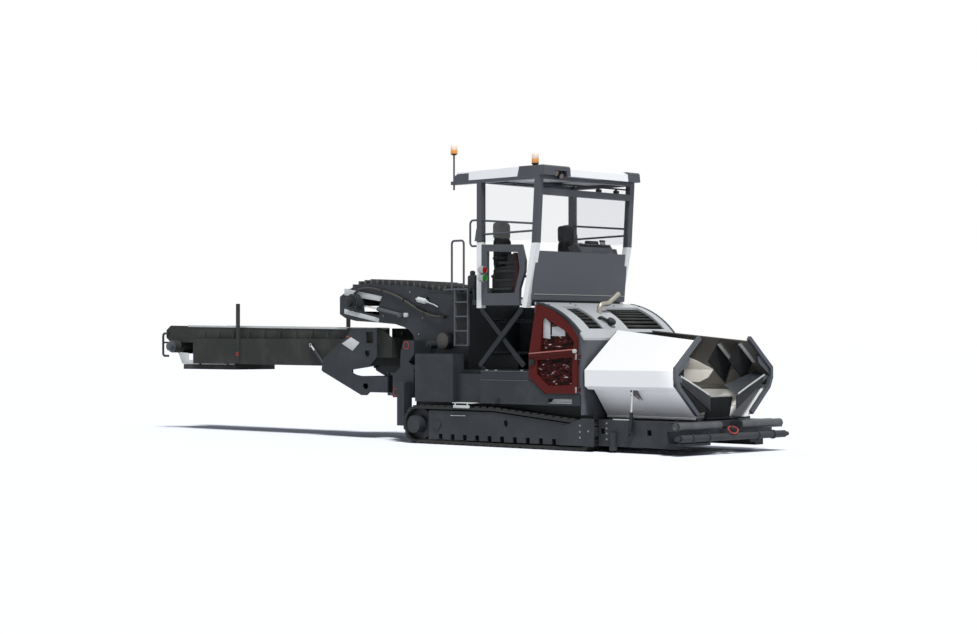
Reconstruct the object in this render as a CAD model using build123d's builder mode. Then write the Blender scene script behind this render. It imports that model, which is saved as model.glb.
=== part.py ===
from build123d import *
import math
import os

# Tracked mobile feeder. Ground is Z 0, +X is forward to the hopper, +Y is left.
# All sizes are millimetres, and each right-hand piece is mirrored to the left.

# Gaps
run_gap = 10        # between pieces that pass each other
pin_gap = 0.3       # round a pin in its bore

# Tracks
track_outer_y = 1275
shoe_width = 320
sprocket_x = 1210
idler_x = 5120
carrier_x = 3100
sprocket_tip_radius = 345
idler_tip_radius = 260
grouser_height = 22
belt_thickness = 45
shoe_count = 56
shoe_share = 0.62
frame_gap = 25
window_count = 10
window_pitch = 300
hub_radius = 155
hub_end_y = 1350

# Chassis
chassis_half = 930
chassis_rear = 850
chassis_bottom = 280
deck_top = 1320
chassis_wall = 30

# Engine housing, hood and doors
housing_rear = 4060
housing_front = 5160
housing_half = 1250
housing_wall = 40
housing_foot = 600
hood_rear_z = 2485
hood_middle = (4716, 2265)
hood_front_z = 1880
hood_thickness = 40
corner_radius = 80
door_thickness = 35
door_gap = 12
hinge_x = 5078
engine_top = 1900
exhaust_radius = 45
exhaust_x = 4640
exhaust_foot_y = -250

# Side boxes over the tracks
box_bottom = 750
box_top = 1310
box_rear = 2795
box_rise = 15
recess_top = 1250
recess_half = 1100
rear_box_rear = 1095
rear_box_front = 2060
rear_box_top = 1600
rear_box_half = 1200

# Rear swing mount
swing_x = -630
swing_pin_radius = 60
post_inner = 760
post_outer = 1000
post_top = 1840
fork_plate = 60
fork_low = 800
fork_high = 1180
fork_nose = 190

# Hopper
wing_rear = housing_front + 60
wing_length = 1860
hopper_front = wing_rear + wing_length
wing_hinge_y = 700
wing_hinge_z = 575
wing_step_inner = (1058, 1022)
wing_step_outer = (1205, 1030)
wing_bend_low = (1290, 1085)
wing_bend_high = (1296, 1348)
wing_top = (450, 2010)
wing_top_front_y = 680
wing_thickness = 14
wing_pin_radius = 12
wing_tube_radius = 26
rim_depth = 60
rim_inward = 70
rim_proud = 40      # how far the rim stands out from the wing's plate
wall_gap = 32
floor_thickness = 30
flap_half = 330
flap_x = hopper_front - 130
flap_height = 370
flap_lean = 70

# Wing cylinders
wing_cylinder_x = wing_rear + 900
wing_eye_low = (1200, 340)
wing_eye_high = (1142, 979)
wing_barrel_length = 330
wing_rod_inside = 45
cylinder_radius = 30
rod_radius = 20
eye_radius = 34
eye_pin = 18
eye_width = 36
open_pin = 12       # pin at the rod's eye, where the linkage is opened
drift_gap = 11      # round that pin, for the drift of the coupled cylinder
neck_radius = 16
neck_length = eye_radius + 6
end_cap = 14
lug_gap = eye_width / 2 + 4
lug_thickness = 15
lug_rise = eye_pin + 2

# Front frame, push rollers and tow bar
front_beam_outer = 1150
front_beam_rear = housing_front + 240
front_beam_front = hopper_front - 40
front_beam_top = 530
front_beam_bottom = 100
roller_x = front_beam_front + 170
roller_z = 465
roller_radius = 72
roller_inner = 270
roller_outer = 1377
roller_pin = 20
bar_x = front_beam_front + 250
bar_z = 280
bar_radius = 60
bar_half = 1400
bar_end_half = 1490
tow_eye_bore = 24

# Scraper conveyor
casing_half = 650
casing_wall = 20
casing_front = 1900
casing_deck = ((-1540, 2650), (-1240, 2800), (-1060, 2860), (-730, 2885), (-160, 2850), (480, 2815),
               (870, 2745), (1430, 2690), (casing_front, 2670))
casing_lip = 22
head_shaft_x = -1047
head_shaft_z = 2554
head_drum_radius = 160
drum_shaft = 45
head_drum_end = 800
head_shaft_radius = 60
slat_pitch = 165
slat_height = 110
slat_half = 560

# Ladder
ladder_rear = 1880
ladder_front = 2235
ladder_y = 1000
ladder_foot = 1740
ladder_top = 2760

# Platform and scissor
platform_rear = 2470
platform_half = 1130
sill_half = 1190
post_half = 1250
post_width = 110
deck_low = 2460
deck_high = 2540
rear_post_x = 2690
post_break = 3540
front_post_foot = (3760, 2400)
front_post_break = (3988, 3490)
front_post_head = (4055, 4570)
beam_depth = 60
panel_half = 1195
roof_rear = 2135
roof_front = 4300
roof_half = 1250
roof_thickness = 170
glass_thickness = 8
beam_top = front_post_head[1] + beam_depth
roof_top = beam_top + roof_thickness
scissor_rear_x = 2530
scissor_reach = 970
scissor_low = 1420
scissor_high = 2370
arm_width = 90
arm_a_y = (960, 990)
arm_b_y = (920, 950)
arm_pin = 25
arm_lug_y = (890, 912)
tie_share = 0.2
centre_pin = 16
centre_boss = 65
slot_drift = (4.5, 20)    # the centre pin's way in its slot while the platform moves
slot_spread = 8

# Swivel bracket and belt conveyor
luff_x = -1100
luff_z = 1980
luff_pin = 45
bracket_outer = 720
bracket_plate = 30
belt_half = 600
belt_plate = 20
belt_rear = -7150
drum_radius = 150
drum_rear_x = -6760
drum_front_x = -620
drum_z = 1700
belt_rubber = 15
belt_run_half = 470
board_half = 520
skirt_rear = -6140
upright_x = (-4700, -2750)
luff_eye_low = (-1950, 1330)
luff_eye_high = (-2380, 1750)
luff_barrel_length = 450
luff_rod_inside = 310
luff_cylinder_y = 645
luff_cylinder_radius = 28


def block(x, y, z, mode=Mode.ADD):
    """Add a box that spans a pair of values along each axis."""
    with Locations(((x[0] + x[1]) / 2, (y[0] + y[1]) / 2, (z[0] + z[1]) / 2)):
        Box(x[1] - x[0], y[1] - y[0], z[1] - z[0], mode=mode)


def side_plate(points, y_from, y_to, mode=Mode.ADD):
    """Extrude a side profile, given as X and Z, between two Y values."""
    with BuildSketch(Plane.XZ.offset(-y_to)) as profile:
        with BuildLine():
            Polyline(*points, close=True)
        make_face()
    extrude(profile.sketch, amount=y_to - y_from, mode=mode)


def front_plate(points, x_from, x_to, mode=Mode.ADD):
    """Extrude a front profile, given as Y and Z, between two X values."""
    with BuildSketch(Plane.YZ.offset(x_from)) as profile:
        with BuildLine():
            Polyline(*points, close=True)
        make_face()
    extrude(profile.sketch, amount=x_to - x_from, mode=mode)


def rod(start, end, radius, mode=Mode.ADD):
    """Add a round bar between two points."""
    axis = Vector(*end) - Vector(*start)
    with BuildSketch(Plane(origin=start, z_dir=axis)) as section:
        Circle(radius)
    extrude(section.sketch, amount=axis.length, mode=mode)


def tube_rail(points, radius, bend):
    """Add a bent rail along a path with rounded corners."""
    with BuildLine() as path:
        FilletPolyline(*points, radius=bend)
    with BuildSketch(Plane(origin=path.line @ 0, z_dir=path.line % 0)) as section:
        Circle(radius)
    sweep(section.sketch, path=path.line)


def mirrored(right):
    """Mirror a right-hand piece to the left."""
    with BuildPart() as left:
        mirror(right.part, about=Plane.XZ)
    return left


def between(start, end, share):
    """Give the point that lies a share of the way between two flat points."""
    return (start[0] + (end[0] - start[0]) * share, start[1] + (end[1] - start[1]) * share)


# Track belt: one closed loop with its shoes in the outline
belt_outer_sprocket = sprocket_tip_radius - grouser_height
belt_outer_idler = idler_tip_radius - grouser_height
carrier_top = (carrier_x, sprocket_tip_radius + belt_outer_sprocket)
idler_centre = (idler_x, idler_tip_radius)
slope_run = math.dist(carrier_top, idler_centre)
slope_angle = math.atan2(carrier_top[1] - idler_centre[1], carrier_top[0] - idler_centre[0])
nose_angle = math.degrees(slope_angle - math.acos(belt_outer_idler / slope_run))


def belt_face(inset):
    """Draw the closed line round sprocket, idler and carrier, set in from the belt's outer face."""
    floor_z = grouser_height + inset
    Line((sprocket_x, floor_z), (idler_x, floor_z))
    nose = CenterArc(idler_centre, belt_outer_idler - inset, -90, 90 + nose_angle)
    Line(nose @ 1, (carrier_x, carrier_top[1] - inset))
    Line((carrier_x, carrier_top[1] - inset), (sprocket_x, carrier_top[1] - inset))
    CenterArc((sprocket_x, sprocket_tip_radius), belt_outer_sprocket - inset, 90, 180)


with BuildLine(Plane.XZ) as belt_line:
    belt_face(0)
track_loop = belt_line.wires()[0]


def track_point(share, height):
    """Give the X and Z of a point on the belt's face, lifted outward by a height."""
    spot = track_loop.position_at(share)
    along = track_loop.tangent_at(share)
    return (spot.X + along.Z * height, spot.Z - along.X * height)


shoe_corners = ((0, 0), (0, grouser_height), (shoe_share, grouser_height), (shoe_share, 0))
track_outline = []
for shoe in range(shoe_count):
    for share, height in shoe_corners:
        track_outline.append(track_point((shoe + share) / shoe_count, height))
track_inner_y = track_outer_y - shoe_width

with BuildPart() as track_right:
    side_plate(track_outline, -track_outer_y, -track_inner_y)
    with BuildSketch(Plane.XZ.offset(track_inner_y)) as inside:
        with BuildLine():
            belt_face(belt_thickness)
        make_face()
    extrude(inside.sketch, amount=shoe_width, mode=Mode.SUBTRACT)
track_left = mirrored(track_right)

# Track frame with roller windows, drive hub and sprocket
frame_bottom = grouser_height + belt_thickness + frame_gap
frame_nose = idler_tip_radius - frame_bottom
frame_top = carrier_top[1] - belt_thickness - frame_gap
sprocket_radius = belt_outer_sprocket - belt_thickness - pin_gap
frame_rear = sprocket_x + sprocket_radius + run_gap
frame_outer_y = track_outer_y - frame_gap
frame_inner_y = track_inner_y + frame_gap
window_size = (95, 190)
oval_place = (3386, 413)
oval_size = (48, 62)
oval_depth = 60
cover_gap = 4
cover_plate = 14
cover_outline = ((idler_x - 470, frame_bottom), (idler_x + 300, frame_bottom), (idler_x + 300, 545),
                 (idler_x + 60, 555), (idler_x - 290, 440), (idler_x - 470, 390))
arm_radius = 150
boss_radius = 80
axle_height = (300, 480)
axle_stations = (1900, 4150)
axle_length = 250

with BuildPart() as track_frame_right:
    with BuildSketch(Plane.XZ.offset(frame_inner_y)) as frame_side:
        with BuildLine():
            Line((frame_rear, frame_bottom), (idler_x, frame_bottom))
            frame_turn = CenterArc(idler_centre, frame_nose, -90, 90 + nose_angle)
            Line(frame_turn @ 1, (carrier_x, frame_top))
            Polyline((carrier_x, frame_top), (frame_rear, frame_top), (frame_rear, frame_bottom))
        make_face()
        for window in range(window_count):
            with Locations((frame_rear + window_pitch * (window + 1), frame_bottom)):
                Rectangle(*window_size, mode=Mode.SUBTRACT)
    extrude(frame_side.sketch, amount=frame_outer_y - frame_inner_y)
    arm_reach = frame_rear + arm_radius
    block((sprocket_x, arm_reach), (-frame_inner_y - belt_thickness, -frame_inner_y),
          (sprocket_tip_radius - arm_radius, sprocket_tip_radius + arm_radius))
    rod((sprocket_x, -chassis_half, sprocket_tip_radius), (sprocket_x, -hub_end_y, sprocket_tip_radius),
        hub_radius)
    rod((sprocket_x, -frame_inner_y - 2 * belt_thickness, sprocket_tip_radius),
        (sprocket_x, -frame_inner_y - 4 * belt_thickness, sprocket_tip_radius), sprocket_radius)
    rod((arm_reach + hub_radius / 2, -frame_outer_y, sprocket_tip_radius),
        (arm_reach + hub_radius / 2, -track_outer_y, sprocket_tip_radius), boss_radius)
    for station in axle_stations:
        block((station, station + axle_length), (-frame_inner_y, -chassis_half), axle_height)
    with BuildSketch(Plane.XZ.offset(frame_outer_y)) as oval:
        with Locations(oval_place):
            Ellipse(*oval_size)
    extrude(oval.sketch, amount=-oval_depth, mode=Mode.SUBTRACT)
    rod((idler_x, -frame_outer_y, idler_tip_radius), (idler_x, -track_outer_y - cover_gap, idler_tip_radius),
        boss_radius)
    side_plate(cover_outline, -track_outer_y - cover_gap - cover_plate, -track_outer_y - cover_gap)
track_frame_left = mirrored(track_frame_right)

# Side boxes: front panel with the sill under the engine door, recess and rear housing
door_sill = 935
sill_front = housing_front - 60
door_chamfer_low = 4318
door_chamfer_high = (3952, 1206)
step_recess = (4387, 4925)
step_height = (782, 862)
step_depth = 70
bead_z = 1155
side_box_profile = ((box_rear, box_bottom), (sill_front, box_bottom), (sill_front, door_sill),
                    (door_chamfer_low, door_sill), door_chamfer_high, (door_chamfer_high[0], box_top),
                    (box_rear, box_top))
bead_end = between(door_chamfer_high, (door_chamfer_low, door_sill),
                   (door_chamfer_high[1] - bead_z) / (door_chamfer_high[1] - door_sill))
tank_x = (1300, 2430)
tank_y = (700, 1150)
tank_top = 2440
tank_edge = 40

with BuildPart() as side_box_right:
    side_plate(side_box_profile, -track_outer_y + box_rise, -chassis_half)
    side_plate(((box_rear, box_bottom), (sill_front, box_bottom), (sill_front, door_sill),
                (door_chamfer_low, door_sill), bead_end, (box_rear, bead_z)),
               -track_outer_y, -track_outer_y + box_rise)
    block(step_recess, (-track_outer_y, -track_outer_y + step_depth), step_height, mode=Mode.SUBTRACT)
    block((rear_box_front, box_rear), (-recess_half, -chassis_half), (box_bottom, recess_top))
    block((rear_box_rear, rear_box_front), (-rear_box_half, -chassis_half), (box_bottom, rear_box_top))

with BuildPart() as side_box_left:
    block(tank_x, tank_y, (rear_box_top, tank_top))
    fillet(side_box_left.edges().filter_by(Axis.Z), tank_edge)
    mirror(side_box_right.part, about=Plane.XZ)

# Main frame: a hollow box, open forward for the conveyor and under the casing
with BuildPart() as main_frame:
    block((chassis_rear, sill_front), (-chassis_half, chassis_half), (chassis_bottom, deck_top))
    block((chassis_rear + chassis_wall, sill_front),
          (-chassis_half + chassis_wall, chassis_half - chassis_wall),
          (chassis_bottom + chassis_wall, deck_top - chassis_wall), mode=Mode.SUBTRACT)
    block((casing_front - 900, casing_front - 2 * casing_wall), (-casing_half + 2 * casing_wall,
          casing_half - 2 * casing_wall), (deck_top - chassis_wall, deck_top), mode=Mode.SUBTRACT)
    for side in (-1, 1):
        lug = sorted((side * arm_lug_y[0], side * arm_lug_y[1]))
        block((scissor_rear_x - arm_width / 2, scissor_rear_x + arm_width / 2), lug,
              (deck_top, scissor_low + arm_width / 2))
        rod((scissor_rear_x, side * arm_lug_y[0], scissor_low),
            (scissor_rear_x, side * (arm_a_y[1] + run_gap / 2), scissor_low), arm_pin)

# Swing mount: two rear posts, guard legs, two fork plates and the swing pin
post_profile = ((300, fork_low), (chassis_rear, fork_low), (chassis_rear, deck_top), (716, 1450),
                (860, 1590), (860, post_top), (590, post_top), (510, 1626), (495, 1340), (300, 1205))
guard_span = (625, 810)
guard_height = (300, 1080)
fork_root = 320

with BuildPart() as swing_mount:
    for side in (-1, 1):
        post_span = sorted((side * post_inner, side * post_outer))
        guard_y = sorted((side * post_outer, side * rear_box_half))
        side_plate(post_profile, *post_span)
        block(guard_span, guard_y, guard_height)
    for plate_z in (fork_low, fork_high):
        with BuildSketch(Plane.XY.offset(plate_z)) as fork:
            with BuildLine():
                Polyline((chassis_rear, -post_inner), (chassis_rear, post_inner), (fork_root, post_inner),
                         (swing_x, fork_nose), (swing_x, -fork_nose), (fork_root, -post_inner), close=True)
            make_face()
            with Locations((swing_x, 0)):
                Circle(fork_nose)
        extrude(fork.sketch, amount=fork_plate)
    rod((swing_x, 0, fork_low), (swing_x, 0, fork_high + fork_plate), swing_pin_radius)


def hood_section(drop):
    """Sketch the side of the engine housing up to the hood's arc, lowered by a drop."""
    with BuildSketch(Plane.XZ.offset(-housing_half)) as section:
        with BuildLine():
            ThreePointArc((housing_rear, hood_rear_z - drop), (hood_middle[0], hood_middle[1] - drop),
                          (housing_front, hood_front_z - drop))
            Polyline((housing_front, hood_front_z - drop), (housing_front, housing_foot),
                     (housing_rear, housing_foot), (housing_rear, hood_rear_z - drop))
        make_face()
    return section.sketch


# Engine housing: front wall with round corners, side frames round the doors and rear bulkhead
door_opening = ((4120, 1400), (4400, 990), (5010, 990), (5010, 1720), (4690, 2120), (4190, 2320),
                (4120, 1600))
hinge_y = housing_half + door_gap + door_thickness / 2
hinge_pin = 8
hinge_levels = (1015, 1566)
knuckle_length = 70
lug_reach = 26

with BuildPart() as engine_housing:
    extrude(hood_section(hood_thickness), amount=2 * housing_half)
    front_corners = engine_housing.edges().filter_by(Axis.Z).group_by(Axis.X)[-1]
    fillet(front_corners, corner_radius)
    block((housing_rear + housing_wall, sill_front),
          (-housing_half + housing_wall, housing_half - housing_wall),
          (housing_foot, hood_rear_z), mode=Mode.SUBTRACT)
    block((housing_rear, sill_front), (-chassis_half, chassis_half), (housing_foot, deck_top),
          mode=Mode.SUBTRACT)
    for side in (-1, 1):
        box_span = sorted((side * chassis_half, side * track_outer_y))
        wall_span = sorted((side * (housing_half - housing_wall), side * housing_half))
        side_plate(side_box_profile, *box_span, mode=Mode.SUBTRACT)
        block((housing_rear, sill_front), box_span, (housing_foot, box_bottom), mode=Mode.SUBTRACT)
        side_plate(door_opening, *wall_span, mode=Mode.SUBTRACT)
        for level in hinge_levels:
            for lug_z in (level - knuckle_length / 2 - lug_thickness - 2, level + knuckle_length / 2 + 2):
                lug_y = sorted((side * housing_half, side * (hinge_y + hinge_pin)))
                block((hinge_x - hinge_pin, hinge_x + lug_reach), lug_y, (lug_z, lug_z + lug_thickness))
            rod((hinge_x, side * hinge_y, level - knuckle_length / 2 - lug_thickness),
                (hinge_x, side * hinge_y, level + knuckle_length / 2 + lug_thickness), hinge_pin)
    block((sill_front, housing_front), (-chassis_half, chassis_half), (chassis_bottom, housing_foot))
    block((sill_front, housing_front), (-casing_half, casing_half),
          (chassis_bottom + chassis_wall, wing_hinge_z - floor_thickness), mode=Mode.SUBTRACT)

# Hood: a curved sheet with a grille on the left and a vent on the right
grille_y = (60, 1040)
vent_y = (-950, -580)
vent_x = (4390, 5020)

with BuildPart() as hood:
    extrude(hood_section(0), amount=2 * housing_half)
    extrude(hood_section(hood_thickness), amount=2 * housing_half, mode=Mode.SUBTRACT)
    for span in (grille_y, vent_y):
        block(vent_x, span, (hood_front_z, hood_rear_z), mode=Mode.SUBTRACT)
    rod((exhaust_x, exhaust_foot_y, hood_front_z), (exhaust_x, exhaust_foot_y, hood_rear_z),
        exhaust_radius + pin_gap, mode=Mode.SUBTRACT)

# Louvres: a dark slotted sheet under the hood's two openings
louvre_sheet = 16
louvre_edge = 20
slot_count = 7
slot_share = 0.6
slot_pitch = (vent_x[1] - vent_x[0]) / slot_count
louvre_z = (hood_front_z - 2 * hood_thickness, hood_rear_z)

with BuildPart() as hood_louvres:
    extrude(hood_section(hood_thickness), amount=2 * housing_half)
    extrude(hood_section(hood_thickness + louvre_sheet), amount=2 * housing_half, mode=Mode.SUBTRACT)
    block((vent_x[0] - louvre_edge, vent_x[1] + louvre_edge),
          (vent_y[0] - louvre_edge, grille_y[1] + louvre_edge), louvre_z, mode=Mode.INTERSECT)
    for slot in range(slot_count):
        slot_x = vent_x[0] + slot * slot_pitch
        for span in (grille_y, vent_y):
            block((slot_x, slot_x + slot_pitch * slot_share), span, louvre_z, mode=Mode.SUBTRACT)
    rod((exhaust_x, exhaust_foot_y, housing_foot), (exhaust_x, exhaust_foot_y, hood_rear_z),
        exhaust_radius + louvre_edge, mode=Mode.SUBTRACT)

# Engine block on the deck
with BuildPart() as engine_block:
    block((4300, 4950), (-550, 850), (deck_top, engine_top))

# Exhaust tail pipe through the hood
with BuildPart() as exhaust:
    tube_rail(((exhaust_x, exhaust_foot_y, engine_top), (exhaust_x, exhaust_foot_y, 2450),
               (exhaust_x, -20, 2470), (exhaust_x, 250, 2640)), exhaust_radius, 90)

# Engine doors, hinged at their front edge, and the mesh sheets behind their two openings
door_front = hinge_x - 22
door_outer_y = housing_half + door_gap + door_thickness
upper_window = ((4226, 1640), (4987, 1692), (4987, 1822), (4821, 1975), (4318, 2231), (4279, 2189))
lower_window = ((4148, 1262), (4383, 1076), (4948, 1095), (4948, 1556), (4161, 1508))
mesh_outline = ((4100, 1250), (4365, 1025), (5005, 1040), (5005, 1840), (4840, 2010), (4330, 2275),
                (4235, 2210), (4100, 1560))
mesh_thickness = 4
door_bar = ((3990, 1583), (5035, 1660))
door_bar_radius = 30
door_inner_y = door_outer_y - door_thickness

with BuildPart() as engine_door_right:
    with BuildSketch(Plane.XZ.offset(door_outer_y - door_thickness)) as door_side:
        with BuildLine():
            Polyline((4134, 2440), (3965, 1600), (3965, 1221), (4331, 952), (door_front, 952),
                     (door_front, 1880))
            ThreePointArc((door_front, 1880), (4700, 2215), (4134, 2440))
        make_face()
        for window in (upper_window, lower_window):
            with BuildLine():
                Polyline(*window, close=True)
            make_face(mode=Mode.SUBTRACT)
    extrude(door_side.sketch, amount=door_thickness)
    rod((door_bar[0][0], -door_outer_y, door_bar[0][1]), (door_bar[1][0], -door_outer_y, door_bar[1][1]),
        door_bar_radius)
    for level in hinge_levels:
        low = level - knuckle_length / 2
        rod((hinge_x, -hinge_y, low), (hinge_x, -hinge_y, low + knuckle_length), door_thickness / 2)
        block((door_front - 5, hinge_x), (-hinge_y - door_thickness / 4, -hinge_y + door_thickness / 4),
              (low, low + knuckle_length))
        rod((hinge_x, -hinge_y, low), (hinge_x, -hinge_y, low + knuckle_length), hinge_pin + pin_gap,
            mode=Mode.SUBTRACT)
engine_door_left = mirrored(engine_door_right)

with BuildPart() as door_mesh_right:
    side_plate(mesh_outline, -door_inner_y, -door_inner_y + mesh_thickness)
door_mesh_left = mirrored(door_mesh_right)

# Front frame: beams, cross members, roller brackets and the tow bar
front_inner = 790
cross_stations = (housing_front + 140, hopper_front - 380)
bracket_thickness = 14
square_hole = 90
hole_stations = (front_beam_rear + 40, front_beam_front - 610)
foot_place = (front_beam_rear + 330, 1165)
foot_radius = 66
foot_height = (34, 330)
collar_stations = (640, 1060)
collar_width = 40
collar_rise = 14

with BuildPart() as front_frame:
    for side in (-1, 1):
        inner_span = sorted((side * front_inner, side * chassis_half))
        outer_span = sorted((side * chassis_half, side * front_beam_outer))
        block((housing_front, front_beam_front), inner_span, (150, front_beam_top))
        block((front_beam_rear, front_beam_front), outer_span, (front_beam_bottom, front_beam_top))
        for hole_x in hole_stations:
            hole_span = sorted((side * (front_beam_outer - 120), side * front_beam_outer))
            block((hole_x, hole_x + square_hole), hole_span, (300, 300 + square_hole), mode=Mode.SUBTRACT)
        foot_y = sorted((side * front_beam_outer, side * (wing_eye_low[0] + eye_pin + 8)))
        for lug_x in (wing_cylinder_x - lug_gap - lug_thickness, wing_cylinder_x + lug_gap):
            block((lug_x, lug_x + lug_thickness), foot_y,
                  (wing_eye_low[1] - 3 * lug_rise, wing_eye_low[1] + lug_rise))
        rod((wing_cylinder_x - lug_gap - lug_thickness, side * wing_eye_low[0], wing_eye_low[1]),
            (wing_cylinder_x + lug_gap + lug_thickness, side * wing_eye_low[0], wing_eye_low[1]), eye_pin)
        rod((foot_place[0], side * foot_place[1], foot_height[0]),
            (foot_place[0], side * foot_place[1], foot_height[1]), foot_radius)
        for collar in collar_stations:
            rod((bar_x, side * collar, bar_z), (bar_x, side * (collar + collar_width), bar_z),
                bar_radius + collar_rise)
        for end in (roller_inner - bracket_thickness - 6, roller_outer + 6):
            end_span = sorted((side * end, side * (end + bracket_thickness)))
            block((front_beam_front - 60, roller_x + 40), end_span, (roller_z - 70, roller_z + 45))
        rod((roller_x, side * (roller_inner - 20), roller_z),
            (roller_x, side * (roller_outer + 20), roller_z), roller_pin)
        link_span = sorted((side * 480, side * 620))
        block((front_beam_front, bar_x), link_span, (bar_z - 50, bar_z + 50))
    for station in cross_stations:
        block((station, station + 100), (-front_inner, front_inner), (400, wing_hinge_z - floor_thickness))
    block((front_beam_front - 60, front_beam_front), (-roller_outer - 20, roller_outer + 20),
          (200, front_beam_top))
    rod((bar_x, -bar_half, bar_z), (bar_x, bar_half, bar_z), bar_radius)
    rod((bar_x, -bar_end_half, bar_z), (bar_x, bar_end_half, bar_z), bar_radius * 0.6)
    block((front_beam_front - 60, bar_x), (-1250, -600), (bar_z - bar_radius - 60, bar_z - bar_radius - 20))
    block((front_beam_front - 60, front_beam_front), (-1250, -600), (bar_z - bar_radius - 60, 200))

# Tow eye on the front beam
with BuildPart() as tow_eye:
    block((front_beam_front, roller_x), (-70, 70), (400, 450))
    rod((roller_x, 0, 400), (roller_x, 0, 450), 70)
    rod((roller_x, 0, 400), (roller_x, 0, 450), tow_eye_bore, mode=Mode.SUBTRACT)

# Push rollers
with BuildPart() as push_roller_right:
    rod((roller_x, -roller_inner, roller_z), (roller_x, -roller_outer, roller_z), roller_radius)
    rod((roller_x, -roller_inner, roller_z), (roller_x, -roller_outer, roller_z), roller_pin + pin_gap,
        mode=Mode.SUBTRACT)
push_roller_left = mirrored(push_roller_right)

# Hopper body: floor, wing pins and the dark back wall
wing_outer = ((-wing_hinge_y, wing_hinge_z), (-wing_step_inner[0], wing_step_inner[1]),
              (-wing_step_outer[0], wing_step_outer[1]), (-wing_bend_low[0], wing_bend_low[1]),
              (-wing_bend_high[0], wing_bend_high[1]), (-wing_top[0], wing_top[1]))
back_wall_front = wing_rear + 30
floor_half = wing_hinge_y - wing_tube_radius - run_gap
lug_size = 20

with BuildPart() as hopper_body:
    block((housing_front, flap_x - 40), (-floor_half, floor_half),
          (wing_hinge_z - floor_thickness, wing_hinge_z))
    with BuildSketch(Plane.YZ.offset(housing_front)) as wall_section:
        with BuildLine():
            Polyline(*wing_outer, *((-y, z) for y, z in reversed(wing_outer)), close=True)
        make_face()
        offset(amount=-wall_gap, kind=Kind.INTERSECTION, mode=Mode.REPLACE)
    extrude(wall_section.sketch, amount=back_wall_front - housing_front)
    block((housing_front, back_wall_front), (-floor_half + wall_gap, floor_half - wall_gap),
          (wing_hinge_z, wing_hinge_z + 2 * wall_gap))
    for side in (-1, 1):
        rod((housing_front, side * wing_hinge_y, wing_hinge_z),
            (hopper_front + lug_size, side * wing_hinge_y, wing_hinge_z), wing_pin_radius)
        lug_span = sorted((side * (floor_half - 40), side * (wing_hinge_y + wing_pin_radius)))
        for lug_x in (housing_front, hopper_front + 5):
            block((lug_x, lug_x + lug_size - 5), lug_span,
                  (wing_hinge_z - floor_thickness, wing_hinge_z + wing_pin_radius))
        block((flap_x - 40, hopper_front + lug_size),
              sorted((side * (floor_half - 40), side * (floor_half - 70))),
              (wing_hinge_z - floor_thickness, wing_hinge_z))
    rod((flap_x, -floor_half + 40, wing_hinge_z - floor_thickness / 2),
        (flap_x, floor_half - 40, wing_hinge_z - floor_thickness / 2), wing_pin_radius)

# Hopper wings: one bent plate each, with hinge tube and cylinder lugs

with BuildPart() as wing_right:
    with BuildSketch(Plane.YZ.offset(wing_rear)) as wing_section:
        with BuildLine():
            Polyline(*wing_outer)
            offset(amount=wing_thickness, side=Side.RIGHT)
        make_face()
    extrude(wing_section.sketch, amount=hopper_front - wing_rear)
    with BuildSketch(Plane.XY.offset(wing_top[1] + 50)) as wing_trim:
        with BuildLine():
            Polyline((wing_rear, -wing_top[0]), (hopper_front + 1, -wing_top_front_y),
                     (hopper_front + 1, 0), (wing_rear, 0), close=True)
        make_face()
    extrude(wing_trim.sketch, amount=-(wing_top[1] - wing_bend_high[1]), mode=Mode.SUBTRACT)
    rod((wing_rear, -wing_hinge_y, wing_hinge_z), (hopper_front, -wing_hinge_y, wing_hinge_z),
        wing_tube_radius)
    rod((wing_rear, -wing_hinge_y, wing_hinge_z), (hopper_front, -wing_hinge_y, wing_hinge_z),
        wing_pin_radius + pin_gap, mode=Mode.SUBTRACT)
    for lug_x in (wing_cylinder_x - lug_gap - lug_thickness, wing_cylinder_x + lug_gap):
        front_plate(((-wing_eye_high[0] - eye_radius, wing_eye_high[1] - eye_radius),
                     (-wing_eye_high[0] + eye_radius, wing_eye_high[1] - eye_radius),
                     between(wing_outer[0], wing_outer[1], 0.63), wing_outer[1],
                     (-wing_eye_high[0] - eye_radius, wing_step_outer[1])),
                    lug_x, lug_x + lug_thickness)
    rod((wing_cylinder_x - lug_gap - lug_thickness, -wing_eye_high[0], wing_eye_high[1]),
        (wing_cylinder_x + lug_gap + lug_thickness, -wing_eye_high[0], wing_eye_high[1]), open_pin)
wing_left = mirrored(wing_right)

# Wing rims with the apron plates that close the hopper beside the flap
apron_thickness = 12
apron_inner = flap_half + 15
apron_low = 700
apron_top = 945
rim_line = ((-wing_hinge_y - rim_proud, wing_hinge_z + rim_proud + 2), (-1226, 1055), (-1299, 1215),
            (-1299, wing_bend_high[1] + rim_proud + 9), (-wing_top_front_y, 1905))
rim_gusset = ((-900, 1560), (-935, 1465), (-1150, 1327))

with BuildPart() as wing_rim_right:
    with BuildSketch(Plane.YZ.offset(hopper_front)) as rim_section:
        with BuildLine():
            Polyline(*rim_line)
            offset(amount=rim_inward, side=Side.RIGHT)
        make_face()
    extrude(rim_section.sketch, amount=rim_depth)
    front_plate((rim_line[2], rim_line[3], between(rim_line[3], rim_line[4], 0.45), *rim_gusset),
                hopper_front, hopper_front + rim_depth / 2)
    front_plate(((-apron_inner, apron_top), (-1100, 1280), (-1240, 1240), (-apron_inner, apron_low)),
                hopper_front, hopper_front + apron_thickness)
wing_rim_left = mirrored(wing_rim_right)

# Front flap on its cross pin
flap_pin_z = wing_hinge_z - floor_thickness / 2
flap_top_x = flap_x + flap_lean
flap_plate = 14

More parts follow.
